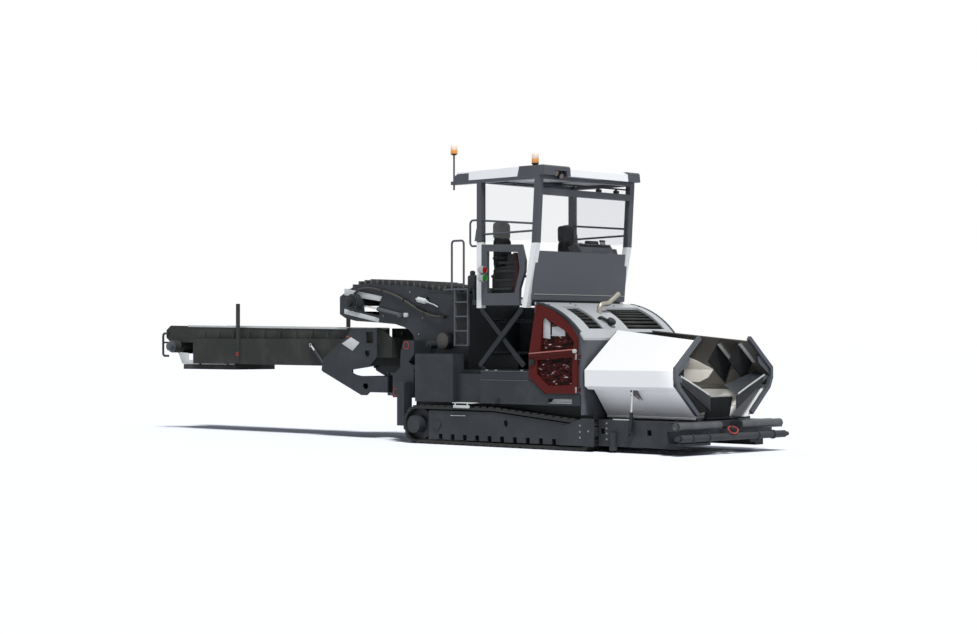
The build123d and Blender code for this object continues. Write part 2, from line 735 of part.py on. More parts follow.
with BuildPart() as flap:
    rod((flap_x, -flap_half, flap_pin_z), (flap_x, flap_half, flap_pin_z), wing_tube_radius)
    side_plate(((flap_x - flap_plate / 2, flap_pin_z), (flap_x + flap_plate / 2, flap_pin_z),
                (flap_top_x + flap_plate / 2, flap_pin_z + flap_height),
                (flap_top_x - flap_plate / 2, flap_pin_z + flap_height)), -flap_half, flap_half)
    rod((flap_x, -flap_half, flap_pin_z), (flap_x, flap_half, flap_pin_z), wing_pin_radius + pin_gap,
        mode=Mode.SUBTRACT)


def eye_disc(plane, spot, radius, mode=Mode.ADD):
    """Add a disc as wide as an eye, centred on a plane."""
    with BuildSketch(plane.offset(-eye_width / 2)) as disc:
        with Locations(spot):
            Circle(radius)
    extrude(disc.sketch, amount=eye_width, mode=mode)


def cylinder_pair(plane, low, high, barrel_length, rod_inside, radius):
    """Make a barrel and its rod between two eyes in a plane, as long as the rest pose needs."""
    along = Vector(high[0] - low[0], high[1] - low[1])
    rest_length = along.length

    def station(distance):
        spot = Vector(*low) + along * (distance / rest_length)
        return plane.from_local_coords((spot.X, spot.Y))

    with BuildPart() as barrel:
        eye_disc(plane, low, eye_radius)
        rod(station(eye_pin), station(neck_length), neck_radius)
        rod(station(neck_length), station(barrel_length), radius)
        rod(station(neck_length + end_cap), station(barrel_length), rod_radius + pin_gap, mode=Mode.SUBTRACT)
        eye_disc(plane, low, eye_pin + pin_gap, mode=Mode.SUBTRACT)
    with BuildPart() as piston:
        eye_disc(plane, high, eye_radius)
        rod(station(barrel_length - rod_inside), station(rest_length - eye_radius + end_cap / 2), rod_radius)
        eye_disc(plane, high, open_pin + drift_gap, mode=Mode.SUBTRACT)
    return barrel, piston


# Wing cylinders, in a plane across the machine
wing_plane = Plane(origin=(wing_cylinder_x, 0, 0), x_dir=(0, 1, 0), z_dir=(1, 0, 0))
wing_barrel_right, wing_rod_right = cylinder_pair(wing_plane, (-wing_eye_low[0], wing_eye_low[1]),
                                                  (-wing_eye_high[0], wing_eye_high[1]),
                                                  wing_barrel_length, wing_rod_inside, cylinder_radius)
wing_barrel_left = mirrored(wing_barrel_right)
wing_rod_left = mirrored(wing_rod_right)

# Scraper conveyor: casing with raised side lips, chain with slats and the head drive
casing_under = ((casing_front, deck_top), (chassis_rear + 60, deck_top), (550, 1560), (530, 1780), (475, 1940),
                (370, 2030), (230, 2085), (0, 2140), (-535, 2178), (-1073, 2205), (-1381, 2262), (-1540, 2340))
head_window = ((-880, 2640), (-390, 2560), (-480, 2440), (-420, 2300), (-860, 2370))
cover_profile = ((880, 2700), (944, 2573), (1132, 2439), (1381, 2261), (1443, 1999), (casing_front, 1999),
                 (casing_front, 2650))
cover_rise = 40
drum_cover = (1390, 1825)
drum_cover_radius = 150
drum_cover_depth = 140
side_motor = (1040, 1760)
side_motor_radius = 75
lip_line = tuple((x, z + casing_lip) for x, z in casing_deck)

with BuildPart() as conveyor_casing:
    side_plate(lip_line + casing_under, -casing_half, casing_half)
    side_plate(lip_line + tuple(reversed(casing_deck)), -casing_half + casing_wall, casing_half - casing_wall,
               mode=Mode.SUBTRACT)
    with BuildSketch(Plane.XZ.offset(casing_half - casing_wall)) as cavity:
        with BuildLine():
            Polyline(*casing_deck, *casing_under, close=True)
        make_face()
        offset(amount=-casing_wall, mode=Mode.REPLACE)
    extrude(cavity.sketch, amount=-2 * (casing_half - casing_wall), mode=Mode.SUBTRACT)
    rod((head_shaft_x, -casing_half, head_shaft_z), (head_shaft_x, casing_half, head_shaft_z),
        head_shaft_radius + pin_gap, mode=Mode.SUBTRACT)
    side_plate(head_window, -casing_half, casing_half, mode=Mode.SUBTRACT)
    block((casing_deck[0][0] - casing_wall, casing_deck[0][0] + 2 * casing_wall),
          (-casing_half + 2 * casing_wall, casing_half - 2 * casing_wall), (2400, 2600), mode=Mode.SUBTRACT)
    for side in (-1, 1):
        side_plate(cover_profile, *sorted((side * casing_half, side * (casing_half + cover_rise))))
    for centre, radius in ((drum_cover, drum_cover_radius), (side_motor, side_motor_radius)):
        rod((centre[0], -casing_half, centre[1]),
            (centre[0], -casing_half - drum_cover_depth, centre[1]), radius)
    block((casing_front - 900, casing_front - 2 * casing_wall), (-casing_half + 2 * casing_wall,
          casing_half - 2 * casing_wall), (deck_top - 1, deck_top + 2 * casing_wall), mode=Mode.SUBTRACT)


def deck_height(x):
    """Give the height of the casing's deck at a station."""
    for (x_from, z_from), (x_to, z_to) in zip(casing_deck, casing_deck[1:]):
        if x_from <= x <= x_to:
            return z_from + (z_to - z_from) * (x - x_from) / (x_to - x_from)
    return casing_deck[-1][1]


chain_rear = casing_deck[0][0] + 40
chain_front = casing_front - 60
chain_y = (380, 430)
strand_height = 45

with BuildPart() as scraper_chain:
    chain_line = ((chain_rear, deck_height(chain_rear)), *casing_deck[1:-1],
                  (chain_front, deck_height(chain_front)))
    chain_top = tuple((x, z + strand_height) for x, z in reversed(chain_line))
    for side in (-1, 1):
        side_plate(chain_line + chain_top, *sorted((side * chain_y[0], side * chain_y[1])))
    for slat in range(int((chain_front - chain_rear) / slat_pitch)):
        slat_x = chain_rear + slat_pitch * (slat + 0.5)
        block((slat_x - 25, slat_x + 25), (-slat_half, slat_half),
              (deck_height(slat_x) + 15, deck_height(slat_x) + slat_height))

with BuildPart() as head_drive:
    rod((head_shaft_x, -head_drum_end, head_shaft_z), (head_shaft_x, head_drum_end, head_shaft_z),
        head_shaft_radius)
    for side in (-1, 1):
        rod((head_shaft_x, side * casing_half, head_shaft_z),
            (head_shaft_x, side * head_drum_end, head_shaft_z), head_drum_radius)

# Ladder with its walkway and hand rail, carried on the casing
stile = 30
rail_x = (1800, 2098)
rail_top = 3605
rung_count = 4

with BuildPart() as ladder:
    for stile_x in (ladder_rear, ladder_front - stile):
        block((stile_x, stile_x + stile), (-ladder_y, -ladder_y + 40), (ladder_foot, ladder_top))
    for rung in range(rung_count):
        rung_z = ladder_foot + (ladder_top - ladder_foot) * rung / rung_count
        block((ladder_rear, ladder_front), (-ladder_y, -ladder_y + 40), (rung_z, rung_z + 25))
    block((casing_front - 300, ladder_front), (-ladder_y, -casing_half - cover_rise),
          (ladder_top - 30, ladder_top))
    block((casing_front - 300, casing_front), (-casing_half - cover_rise, -casing_half + casing_wall / 2),
          (ladder_top - 30, ladder_top))
    block((ladder_rear, casing_front), (-ladder_y, -casing_half), (ladder_foot + 20, ladder_foot + 60))
    tube_rail(((rail_x[0], -ladder_y + stile, ladder_top - stile), (rail_x[0], -ladder_y + stile, rail_top),
               (rail_x[1], -ladder_y + stile, rail_top), (rail_x[1], -ladder_y + stile, ladder_top - stile)),
              19, 60)

# Scissor: two pairs of crossing arms, the lower pair's centre pins in the upper pair's slots
scissor_front_x = scissor_rear_x + scissor_reach
scissor_mid = (scissor_rear_x + scissor_reach / 2, (scissor_low + scissor_high) / 2)


def scissor_arms(start, end, span):
    """Add a pair of arms between two flat points, with a bore at the start and a cross tube."""
    along = Vector(end[0] - start[0], end[1] - start[1]).normalized() * (arm_width / 2)
    for side in (-1, 1):
        arm_span = sorted((side * span[0], side * span[1]))
        side_plate(((start[0] - along.Y, start[1] + along.X), (start[0] + along.Y, start[1] - along.X),
                    (end[0] + along.Y, end[1] - along.X), (end[0] - along.Y, end[1] + along.X)), *arm_span)
        for tip in (start, end):
            rod((tip[0], arm_span[0], tip[1]), (tip[0], arm_span[1], tip[1]), arm_width / 2)
        rod((start[0], arm_span[0], start[1]), (start[0], arm_span[1], start[1]), arm_pin + pin_gap,
            mode=Mode.SUBTRACT)
    tie = between(start, end, tie_share)
    rod((tie[0], -span[1], tie[1]), (tie[0], span[1], tie[1]), arm_pin)


with BuildPart() as scissor_lower:
    scissor_arms((scissor_rear_x, scissor_low), (scissor_front_x, scissor_high), arm_a_y)
    for side in (-1, 1):
        rod((scissor_mid[0], side * arm_b_y[0], scissor_mid[1]),
            (scissor_mid[0], side * arm_a_y[1], scissor_mid[1]), centre_pin)

with BuildPart() as scissor_upper:
    scissor_arms((scissor_rear_x, scissor_high), (scissor_front_x, scissor_low), arm_b_y)
    for side in (-1, 1):
        rod((scissor_mid[0], side * arm_b_y[0], scissor_mid[1]),
            (scissor_mid[0], side * arm_b_y[1], scissor_mid[1]), centre_boss)
        with BuildSketch(Plane.XZ.offset(-side * arm_b_y[0])) as slot:
            with Locations(scissor_mid):
                Circle(centre_pin + pin_gap)
            with Locations((scissor_mid[0] + slot_drift[0], scissor_mid[1] + slot_drift[1])):
                Circle(centre_pin + slot_spread)
            make_hull()
        extrude(slot.sketch, amount=-side * (arm_b_y[1] - arm_b_y[0]), mode=Mode.SUBTRACT)

# Platform deck with the lugs of the upper scissor arms
deck_front = 3930
deck_sheet = 15

with BuildPart() as platform_deck:
    block((platform_rear, deck_front), (-platform_half, platform_half), (deck_low, deck_high))
    deck_middle = (platform_rear + deck_front) / 2
    for pocket_x in ((platform_rear + 130, deck_middle - 30), (deck_middle + 30, deck_front - 60)):
        for pocket_y in ((-platform_half + 60, -380), (-320, 320), (380, platform_half - 60)):
            block(pocket_x, pocket_y, (deck_low, deck_high - deck_sheet), mode=Mode.SUBTRACT)
    for side in (-1, 1):
        lug = sorted((side * arm_lug_y[0], side * arm_lug_y[1]))
        block((scissor_rear_x - arm_width / 2, scissor_rear_x + arm_width / 2), lug,
              (scissor_high - arm_width / 2, deck_low))
        rod((scissor_rear_x, side * arm_lug_y[0], scissor_high),
            (scissor_rear_x, side * (arm_b_y[1] + run_gap / 2), scissor_high), arm_pin)

# Front panel with its lip and the control console behind it
panel_foot = deck_high - 15
panel_lip = deck_high + 80
panel_top = deck_high + 820
panel_sheet = 40
panel_lean = 75
gear_y = (150, 1060)
gear_wall = 30
gear_profile = ((deck_front - 270, deck_high), (deck_front, deck_high), (deck_front + 15, panel_lip),
                (deck_front + 30, panel_top - 80), (deck_front - 60, panel_top + 20),
                (deck_front - 170, panel_top + 180), (deck_front - 370, panel_top + 120),
                (deck_front - 270, panel_top - 60))

with BuildPart() as front_panel:
    side_plate(((deck_front, panel_foot), (deck_front + panel_sheet + 5, panel_foot),
                (deck_front + panel_sheet + 15, panel_lip),
                (deck_front + panel_lean + panel_sheet, panel_top), (deck_front + panel_lean, panel_top),
                (deck_front + 15, panel_lip), (deck_front, panel_lip)), -panel_half, panel_half)
    side_plate(gear_profile, *gear_y)
    for side in (-1, 1):
        side_plate(((front_post_foot[0] - pin_gap, front_post_foot[1]),
                    (front_post_foot[0] + post_width + pin_gap, front_post_foot[1]),
                    (front_post_break[0] + post_width + pin_gap, front_post_break[1]),
                    (front_post_break[0] - pin_gap, front_post_break[1])),
                   *sorted((side * (post_half - post_width - pin_gap), side * post_half)), mode=Mode.SUBTRACT)
    block((deck_front - 270 + gear_wall, deck_front - panel_sheet),
          (gear_y[0] + gear_wall, gear_y[1] - gear_wall), (deck_high + gear_wall, panel_top - 100),
          mode=Mode.SUBTRACT)

# White lower frame: sills, rear posts and the foot of the front posts
frame_inner = post_half - post_width


def front_post_x(z):
    """Give the rear edge of the leaning front post at a height."""
    low, high = front_post_break, front_post_head
    if z <= front_post_break[1]:
        low, high = front_post_foot, front_post_break
    return low[0] + (high[0] - low[0]) * (z - low[1]) / (high[1] - low[1])


with BuildPart() as platform_frame:
    for side in (-1, 1):
        post_y = sorted((side * frame_inner, side * post_half))
        sill_y = sorted((side * platform_half, side * sill_half))
        block((rear_post_x, rear_post_x + post_width), post_y, (front_post_foot[1], post_break))
        side_plate((front_post_foot, (front_post_foot[0] + post_width, front_post_foot[1]),
                    (front_post_break[0] + post_width, front_post_break[1]), front_post_break), *post_y)
        block((rear_post_x, front_post_foot[0] + post_width / 2), sill_y, (deck_low, deck_high))
    block((rear_post_x, rear_post_x + post_width), (-post_half, post_half), (deck_high, deck_high + 60))

# Dark canopy frame: upper posts, ring beam, cross bar, roof corners, hand rails and the rear beacon mast
rail_radius = 18
bar_levels = (front_post_head[1] - 260, front_post_head[1] - 150)
mast_radius = 16
mast_x = roof_rear - 50
mast_y = 1200
mast_foot = beam_top - 150
mast_rise = 296
mast_top = roof_top + mast_rise
loop_x = 2480
loop_levels = (3930, 3480)
rail_lines = ((3920, 3815), (3674, 3700))
joint_plate = ((rear_post_x - 40, post_break + 20), (rear_post_x + post_width + 12, post_break + 20),
               (rear_post_x + post_width + 12, post_break + 130), (rear_post_x + post_width, post_break + 230),
               (rear_post_x, post_break + 230))
joint_thickness = 12
front_corner_x = roof_front - 645
front_corner_y = ((-roof_half, -600), (920, roof_half))
rear_corner_x = roof_rear + 363
rear_corner_y = ((-roof_half, -900), (900, roof_half))
corner_slope = 45
corner_wall = 60
lamp_recess = (-985, -690)
lamp_recess_depth = 110
lamp_recess_height = 86


def roof_corners(mode=Mode.ADD):
    """Add or cut the four raised corners that stand on the ring beam."""
    for span in front_corner_y:
        side_plate(((front_corner_x, beam_top), (roof_front, beam_top),
                    (roof_front - 15, roof_top - corner_slope / 2), (roof_front - corner_slope, roof_top),
                    (front_corner_x + corner_slope, roof_top)), *span, mode=mode)
    for span in rear_corner_y:
        side_plate(((roof_rear, beam_top), (rear_corner_x, beam_top), (rear_corner_x, roof_top - corner_slope),
                    (roof_rear + 2 * corner_slope, roof_top - corner_slope),
                    (roof_rear, roof_top - 2 * corner_slope)), *span, mode=mode)


with BuildPart() as canopy_frame:
    roof_corners()
    for span in front_corner_y:
        block((front_corner_x + corner_wall, roof_front - 2 * corner_wall),
              (span[0] + corner_wall, span[1] - corner_wall), (beam_top, roof_top - corner_wall),
              mode=Mode.SUBTRACT)
    for span in rear_corner_y:
        block((roof_rear + 2 * corner_wall, rear_corner_x - corner_wall),
              (span[0] + corner_wall, span[1] - corner_wall), (beam_top, roof_top - 2 * corner_wall),
              mode=Mode.SUBTRACT)
    block((roof_front - lamp_recess_depth, roof_front), lamp_recess, (beam_top, beam_top + lamp_recess_height),
          mode=Mode.SUBTRACT)
    for side in (-1, 1):
        post_y = sorted((side * frame_inner, side * post_half))
        mid_y = side * (post_half - post_width / 2)
        block((rear_post_x, rear_post_x + post_width), post_y, (post_break, front_post_head[1]))
        side_plate((front_post_break, (front_post_break[0] + post_width, front_post_break[1]),
                    (front_post_head[0] + post_width, front_post_head[1]), front_post_head), *post_y)
        block((mast_x - 30, front_post_head[0] + post_width), post_y, (front_post_head[1], beam_top))
        side_plate(joint_plate, *sorted((side * post_half, side * (post_half + joint_thickness))))
        for rear_z, front_z in rail_lines:
            rod((rear_post_x + 50, mid_y, rear_z), (front_post_x(front_z) + 40, mid_y, front_z), rail_radius)
        tube_rail(((rear_post_x + 20, mid_y, loop_levels[0]), (loop_x, mid_y, loop_levels[0]),
                   (loop_x, mid_y, loop_levels[1]), (rear_post_x, mid_y, loop_levels[1])), rail_radius, 70)
    for beam_x in (rear_post_x, front_post_head[0]):
        block((beam_x, beam_x + post_width), (-post_half, post_half), (front_post_head[1], beam_top))
    bar_x_low, bar_x_high = (front_post_x(level) for level in bar_levels)
    side_plate(((bar_x_low, bar_levels[0]), (bar_x_low + post_width, bar_levels[0]),
                (bar_x_high + post_width, bar_levels[1]), (bar_x_high, bar_levels[1])), -post_half, post_half)
    rod((mast_x, -mast_y, mast_foot), (mast_x, -mast_y, mast_top), mast_radius)

# Roof: a hollow shell between the raised corners
roof_drop = 25
roof_sheet = 55

with BuildPart() as roof:
    side_plate(((roof_rear, beam_top), (roof_front, beam_top), (roof_front - 15, roof_top - corner_slope),
                (roof_front - 2 * corner_slope, roof_top - 8), (front_corner_x, roof_top - 8),
                (roof_rear + 2 * corner_slope, roof_top - roof_drop),
                (roof_rear, roof_top - 2 * corner_slope)), -roof_half, roof_half)
    block((roof_rear + corner_wall, roof_front - corner_wall),
          (-roof_half + roof_sheet, roof_half - roof_sheet), (beam_top, roof_top - roof_drop - roof_sheet),
          mode=Mode.SUBTRACT)
    roof_corners(mode=Mode.SUBTRACT)

# Beacons
lens_radius = 65
lens_height = 180
beacon_foot = 40
beacon_x = roof_front - 365
beacon_y = 1100

with BuildPart() as beacon_front:
    rod((beacon_x, -beacon_y, roof_top), (beacon_x, -beacon_y, roof_top + beacon_foot), lens_radius - 15)
    rod((beacon_x, -beacon_y, roof_top + beacon_foot),
        (beacon_x, -beacon_y, roof_top + beacon_foot + lens_height), lens_radius)

with BuildPart() as beacon_rear:
    rod((mast_x, -mast_y, mast_top), (mast_x, -mast_y, mast_top + lens_height), lens_radius)

# Panes: two sides and the windscreen
pane_low = front_post_break[1] + 60
pane_high = front_post_head[1] - 40

with BuildPart() as side_pane_right:
    side_plate(((rear_post_x + post_width, pane_low), (front_post_x(pane_low), pane_low),
                (front_post_x(pane_high), pane_high), (rear_post_x + post_width, pane_high)),
               -frame_inner - 20 - glass_thickness, -frame_inner - 20)
side_pane_left = mirrored(side_pane_right)

with BuildPart() as windscreen:
    low_x = front_post_x(front_post_break[1] + 20) + post_width / 2
    high_x = front_post_x(bar_levels[0]) + post_width / 2
    side_plate(((low_x, front_post_break[1] + 20), (low_x + glass_thickness, front_post_break[1] + 20),
                (high_x + glass_thickness, bar_levels[0]), (high_x, bar_levels[0])),
               -frame_inner, frame_inner)

# Side consoles with their big windows
console_rear = rear_post_x + post_width + run_gap
console_outline = ((0, 2444), (880, 2436), (896, 2719), (1012, 3010), (1022, 3193), (935, 3470), (0, 3500))
console_window = ((130, 2650), (780, 2650), (885, 2990), (900, 3070), (855, 3342), (130, 3376))

with BuildPart() as console_right:
    side_plate(tuple((console_rear + x, z) for x, z in console_outline), -post_half, -sill_half)
    side_plate(tuple((console_rear + x, z) for x, z in console_window), -post_half, -sill_half,
               mode=Mode.SUBTRACT)
console_left = mirrored(console_right)

# Seats on their pedestals
seat_y = (560, 1040)
seat_rear = rear_post_x + post_width
seat_levels = (deck_high + 420, deck_high + 550)
seat_top = deck_high + 1360

with BuildPart() as seat_right:
    block((seat_rear + 80, seat_rear + 360), (-seat_y[1] + 140, -seat_y[0] - 140), (deck_high, seat_levels[0]))
    block((seat_rear, seat_rear + 490), (-seat_y[1], -seat_y[0]), seat_levels)
    side_plate(((seat_rear, seat_levels[1]), (seat_rear + 120, seat_levels[1]), (seat_rear + 40, seat_top),
                (seat_rear - 50, seat_top)), -seat_y[1] + 30, -seat_y[0] - 30)
seat_left = mirrored(seat_right)

# Swivel bracket: sleeve on the swing pin, lower box, side plates and luff pins
bracket_inner = bracket_outer - bracket_plate
box_low = fork_low + fork_plate + run_gap
box_high = fork_high - run_gap
bracket_profile = ((-430, 2070), (-1120, 2070), (-1260, 1930), (-1940, 1490), (-1990, 1280),
                   (-1970, 1250), (-860, 812), (-720, 812), (-640, box_low), (-140, box_low),
                   (-140, box_high), (-840, box_high), (-1000, box_high + 20), (-1110, 1225), (-1110, 1290),
                   (-640, 1345), (-430, 1530))
bracket_holes = (((-725, 1790), (-530, 1790), (-530, 2000), (-725, 2000)),
                 ((-755, 1570), (-720, 1535), (-665, 1535), (-630, 1570), (-630, 1650), (-755, 1650)),
                 ((-825, 985), (-800, 935), (-740, 925), (-685, 940), (-662, 985), (-690, 1035), (-790, 1035)))
sleeve_radius = 120
bracket_box = (-980, -520)
box_plate = 25

with BuildPart() as swivel_bracket:
    for side in (-1, 1):
        side_plate(bracket_profile, *sorted((side * bracket_inner, side * bracket_outer)))
        rod((luff_x, side * bracket_outer, luff_z),
            (luff_x, side * (belt_half - belt_plate - 20), luff_z), luff_pin)
        rod((luff_eye_low[0], side * bracket_inner, luff_eye_low[1]),
            (luff_eye_low[0], side * (luff_cylinder_y - eye_width / 2 - 2), luff_eye_low[1]), eye_pin)
    block(bracket_box, (-bracket_inner, bracket_inner), (box_low, box_high))
    block((bracket_box[0] + box_plate, bracket_box[1] - box_plate), (-bracket_inner, bracket_inner),
          (box_low + box_plate, box_high - box_plate), mode=Mode.SUBTRACT)
    rod((swing_x, 0, box_low), (swing_x, 0, box_high), sleeve_radius)
    rod((swing_x, 0, box_low), (swing_x, 0, box_high), swing_pin_radius + pin_gap, mode=Mode.SUBTRACT)
    for side in (-1, 1):
        for hole in bracket_holes:
            side_plate(hole, *sorted((side * bracket_inner, side * bracket_outer)), mode=Mode.SUBTRACT)

# Belt conveyor frame: skirts that widen to the catch hopper, side boards with gussets, drums and uprights
skirt_profile = ((skirt_rear, 1370), (-1400, 1350), (-700, 1350), (-500, 1520), (-150, 1520), (-150, 1890),
                 (-450, 2070), (-1400, 2075), (-1400, 1870), (skirt_rear, 1880))
board_profile = ((belt_rear + 150, 1800), (-1400, 1800), (-1400, 2075), (belt_rear + 150, 2155),
                 (belt_rear, 2060), (belt_rear, 1900))
gusset_count = 9
upright_width = 95
tail_hook_x = -7230
tie_width = 80
tie_bottom = 1375
tie_stations = tuple(range(skirt_rear + 100, -1600, 900))
tray_rear = -6560
tray_front = -4860
tray_bottom = 1250

with BuildPart() as belt_frame:
    for side in (-1, 1):
        skirt_y = sorted((side * (belt_half - belt_plate), side * belt_half))
        board_y = sorted((side * (board_half - belt_plate), side * board_half))
        tie_y = sorted((side * (board_half - belt_plate), side * belt_half))
        side_plate(skirt_profile, *skirt_y)
        side_plate(board_profile, *board_y)
        block((skirt_rear, -1400), tie_y, (1840, 1862))
        for gusset in range(gusset_count):
            gusset_x = skirt_rear + 300 + gusset * 480
            front_plate(((side * board_half, 1862), (side * (belt_half - 8), 1862),
                         (side * board_half, 2080)), gusset_x, gusset_x + 18)
        rod((luff_eye_high[0], side * belt_half, luff_eye_high[1]),
            (luff_eye_high[0], side * (luff_cylinder_y + eye_width / 2 + 2), luff_eye_high[1]), open_pin)
        boss_ends = ((luff_x, side * (belt_half - belt_plate), luff_z),
                     (luff_x, side * (belt_half + 40), luff_z))
        rod(*boss_ends, luff_pin + 35)
        rod(*boss_ends, luff_pin + pin_gap, mode=Mode.SUBTRACT)
    for tie_x in tie_stations:
        block((tie_x, tie_x + tie_width), (-belt_half + belt_plate, belt_half - belt_plate),
              (tie_bottom, tie_bottom + 60))
    block((-170, -150), (-belt_half, belt_half), (1520, 1890))
    rod((drum_rear_x, -belt_half - 60, drum_z + 20), (drum_rear_x, belt_half + 60, drum_z + 20),
        drum_shaft)
    rod((drum_front_x, -belt_half, drum_z), (drum_front_x, belt_half, drum_z), drum_shaft)
    for side in (-1, 1):
        hanger_y = sorted((side * (board_half - belt_plate), side * board_half))
        block((drum_rear_x - 60, drum_rear_x + 60), hanger_y, (drum_z - 60, 1850))
    for upright, side in zip(upright_x, (-1, 1)):
        upright_y = sorted((side * belt_half, side * (belt_half + 30)))
        block((upright, upright + upright_width), upright_y, (1400, 2580))
    rod((drum_rear_x, -belt_half - 60, drum_z + 20), (drum_rear_x, -board_half, drum_z + 20), 130)

# Belt: a closed rubber loop over its two drums, with the drums inside
with BuildPart() as belt:
    with BuildSketch(Plane.XZ.offset(belt_run_half)) as loop:
        with BuildLine():
            rear_turn = CenterArc((drum_rear_x, drum_z + 20), drum_radius, 90, 180)
            front_turn = CenterArc((drum_front_x, drum_z), drum_radius, -90, 180)
            Line(rear_turn @ 1, front_turn @ 0)
            Line(front_turn @ 1, rear_turn @ 0)
        make_face()
        offset(amount=-belt_rubber, mode=Mode.SUBTRACT)
    extrude(loop.sketch, amount=-2 * belt_run_half)
    for drum_x, rise in ((drum_rear_x, 20), (drum_front_x, 0)):
        drum_ends = ((drum_x, -belt_run_half, drum_z + rise), (drum_x, belt_run_half, drum_z + rise))
        rod(*drum_ends, drum_radius - belt_rubber / 2)
        rod(*drum_ends, drum_shaft + pin_gap, mode=Mode.SUBTRACT)

# Tail guard with its hook, and the scraper tray under the tail
guard_radius = 24
guard_y = board_half + guard_radius
guard_levels = (1990, 1520)
hook_z = 1800

with BuildPart() as tail_guard:
    for side in (-1, 1):
        tube_rail(((belt_rear + 100, side * guard_y, guard_levels[0]),
                   (tail_hook_x, side * guard_y, guard_levels[0]),
                   (tail_hook_x, side * guard_y, guard_levels[1]),
                   (belt_rear + 100, side * guard_y, guard_levels[1])), guard_radius, 60)
    rod((tail_hook_x, -guard_y, hook_z), (tail_hook_x, guard_y, hook_z), guard_radius - 6)
    rod((-bar_x - bar_radius - collar_rise, 0, hook_z), (tail_hook_x, 0, hook_z), guard_radius - 10)

with BuildPart() as tail_tray:
    block((tray_rear, tray_front), (-board_half, board_half), (tray_bottom, tray_bottom + 100))
    for tie_x in tie_stations[:2]:
        block((tie_x, tie_x + tie_width), (-board_half, board_half), (tray_bottom + 100, tie_bottom))

# Luff cylinders beside the belt
luff_plane = Plane(origin=(0, -luff_cylinder_y, 0), x_dir=(1, 0, 0), z_dir=(0, -1, 0))
luff_barrel_right, luff_rod_right = cylinder_pair(luff_plane, luff_eye_low, luff_eye_high,
                                                  luff_barrel_length, luff_rod_inside, luff_cylinder_radius)
luff_barrel_left = mirrored(luff_barrel_right)
luff_rod_left = mirrored(luff_rod_right)

# Write every piece under its own name
pieces = {
    "main_frame": main_frame,
    "track_right": track_right,
    "track_left": track_left,
    "track_frame_right": track_frame_right,
    "track_frame_left": track_frame_left,
    "side_box_right": side_box_right,
    "side_box_left": side_box_left,
    "swing_mount": swing_mount,
    "engine_housing": engine_housing,
    "hood": hood,
    "hood_louvres": hood_louvres,
    "engine_block": engine_block,
    "exhaust": exhaust,
    "engine_door_right": engine_door_right,
    "engine_door_left": engine_door_left,
    "door_mesh_right": door_mesh_right,
    "door_mesh_left": door_mesh_left,
    "front_frame": front_frame,
    "tow_eye": tow_eye,
    "push_roller_right": push_roller_right,
    "push_roller_left": push_roller_left,
    "hopper_body": hopper_body,
    "wing_right": wing_right,
    "wing_left": wing_left,
    "wing_rim_right": wing_rim_right,
    "wing_rim_left": wing_rim_left,
    "flap": flap,
    "wing_barrel_right": wing_barrel_right,
    "wing_barrel_left": wing_barrel_left,
    "wing_rod_right": wing_rod_right,
    "wing_rod_left": wing_rod_left,
    "conveyor_casing": conveyor_casing,
    "scraper_chain": scraper_chain,
    "head_drive": head_drive,
    "ladder": ladder,
    "scissor_lower": scissor_lower,
    "scissor_upper": scissor_upper,
    "platform_deck": platform_deck,
    "front_panel": front_panel,
    "platform_frame": platform_frame,
    "canopy_frame": canopy_frame,
    "roof": roof,
    "beacon_front": beacon_front,
    "beacon_rear": beacon_rear,
    "side_pane_right": side_pane_right,
    "side_pane_left": side_pane_left,
    "windscreen": windscreen,
    "console_right": console_right,
    "console_left": console_left,
    "seat_right": seat_right,
    "seat_left": seat_left,
    "swivel_bracket": swivel_bracket,
    "belt_frame": belt_frame,
    "belt": belt,
    "tail_guard": tail_guard,
    "tail_tray": tail_tray,
    "luff_barrel_right": luff_barrel_right,
    "luff_barrel_left": luff_barrel_left,
    "luff_rod_right": luff_rod_right,
    "luff_rod_left": luff_rod_left,
}
os.makedirs("parts", exist_ok=True)
for name, piece in pieces.items():
    piece.part.label = name
    export_step(piece.part, f"parts/{name}.step")
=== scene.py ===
import math

import bpy
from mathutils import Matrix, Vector


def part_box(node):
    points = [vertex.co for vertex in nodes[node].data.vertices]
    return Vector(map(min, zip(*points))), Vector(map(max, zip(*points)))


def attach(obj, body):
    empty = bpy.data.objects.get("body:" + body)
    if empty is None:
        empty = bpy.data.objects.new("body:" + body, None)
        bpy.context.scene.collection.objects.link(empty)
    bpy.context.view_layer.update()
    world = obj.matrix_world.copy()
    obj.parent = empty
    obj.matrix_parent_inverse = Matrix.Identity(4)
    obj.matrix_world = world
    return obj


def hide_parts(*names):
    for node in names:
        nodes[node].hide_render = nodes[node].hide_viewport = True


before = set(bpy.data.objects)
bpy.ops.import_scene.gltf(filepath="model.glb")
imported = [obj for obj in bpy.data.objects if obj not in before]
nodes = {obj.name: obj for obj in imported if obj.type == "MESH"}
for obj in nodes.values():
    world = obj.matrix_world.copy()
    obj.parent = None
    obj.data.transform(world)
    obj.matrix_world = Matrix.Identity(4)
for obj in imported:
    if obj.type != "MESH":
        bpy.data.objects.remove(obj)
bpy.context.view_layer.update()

# Directions that pieces face
to_front, to_right, upward = (1, 0, 0), (0, -1, 0), (0, 0, 1)

# Wear: the noise values that dust lies between, the height of ground dirt in metres, and the fine grain
dust_starts, dust_full = 0.42, 0.74
dust_dulling = 0.5
splash_top = 1.1
grain_scale, grain_depth, rough_swing = 46.0, 0.004, 0.09

# Wings: the height of the hopper's core, how far a face turns from it, and the mouth that stays painted
core_height, outward_limit = 1.15, 0.03
mouth_from_x, mouth_below_z = 6.6, 1.1

# Modelling: edges sharper than one angle are bevelled, flatter than the other shaded smooth
sharp_angle, smooth_angle = math.radians(40), math.radians(35)
weld_gap = 0.0004

# Panes bend light only a little
pane_ior = 1.12


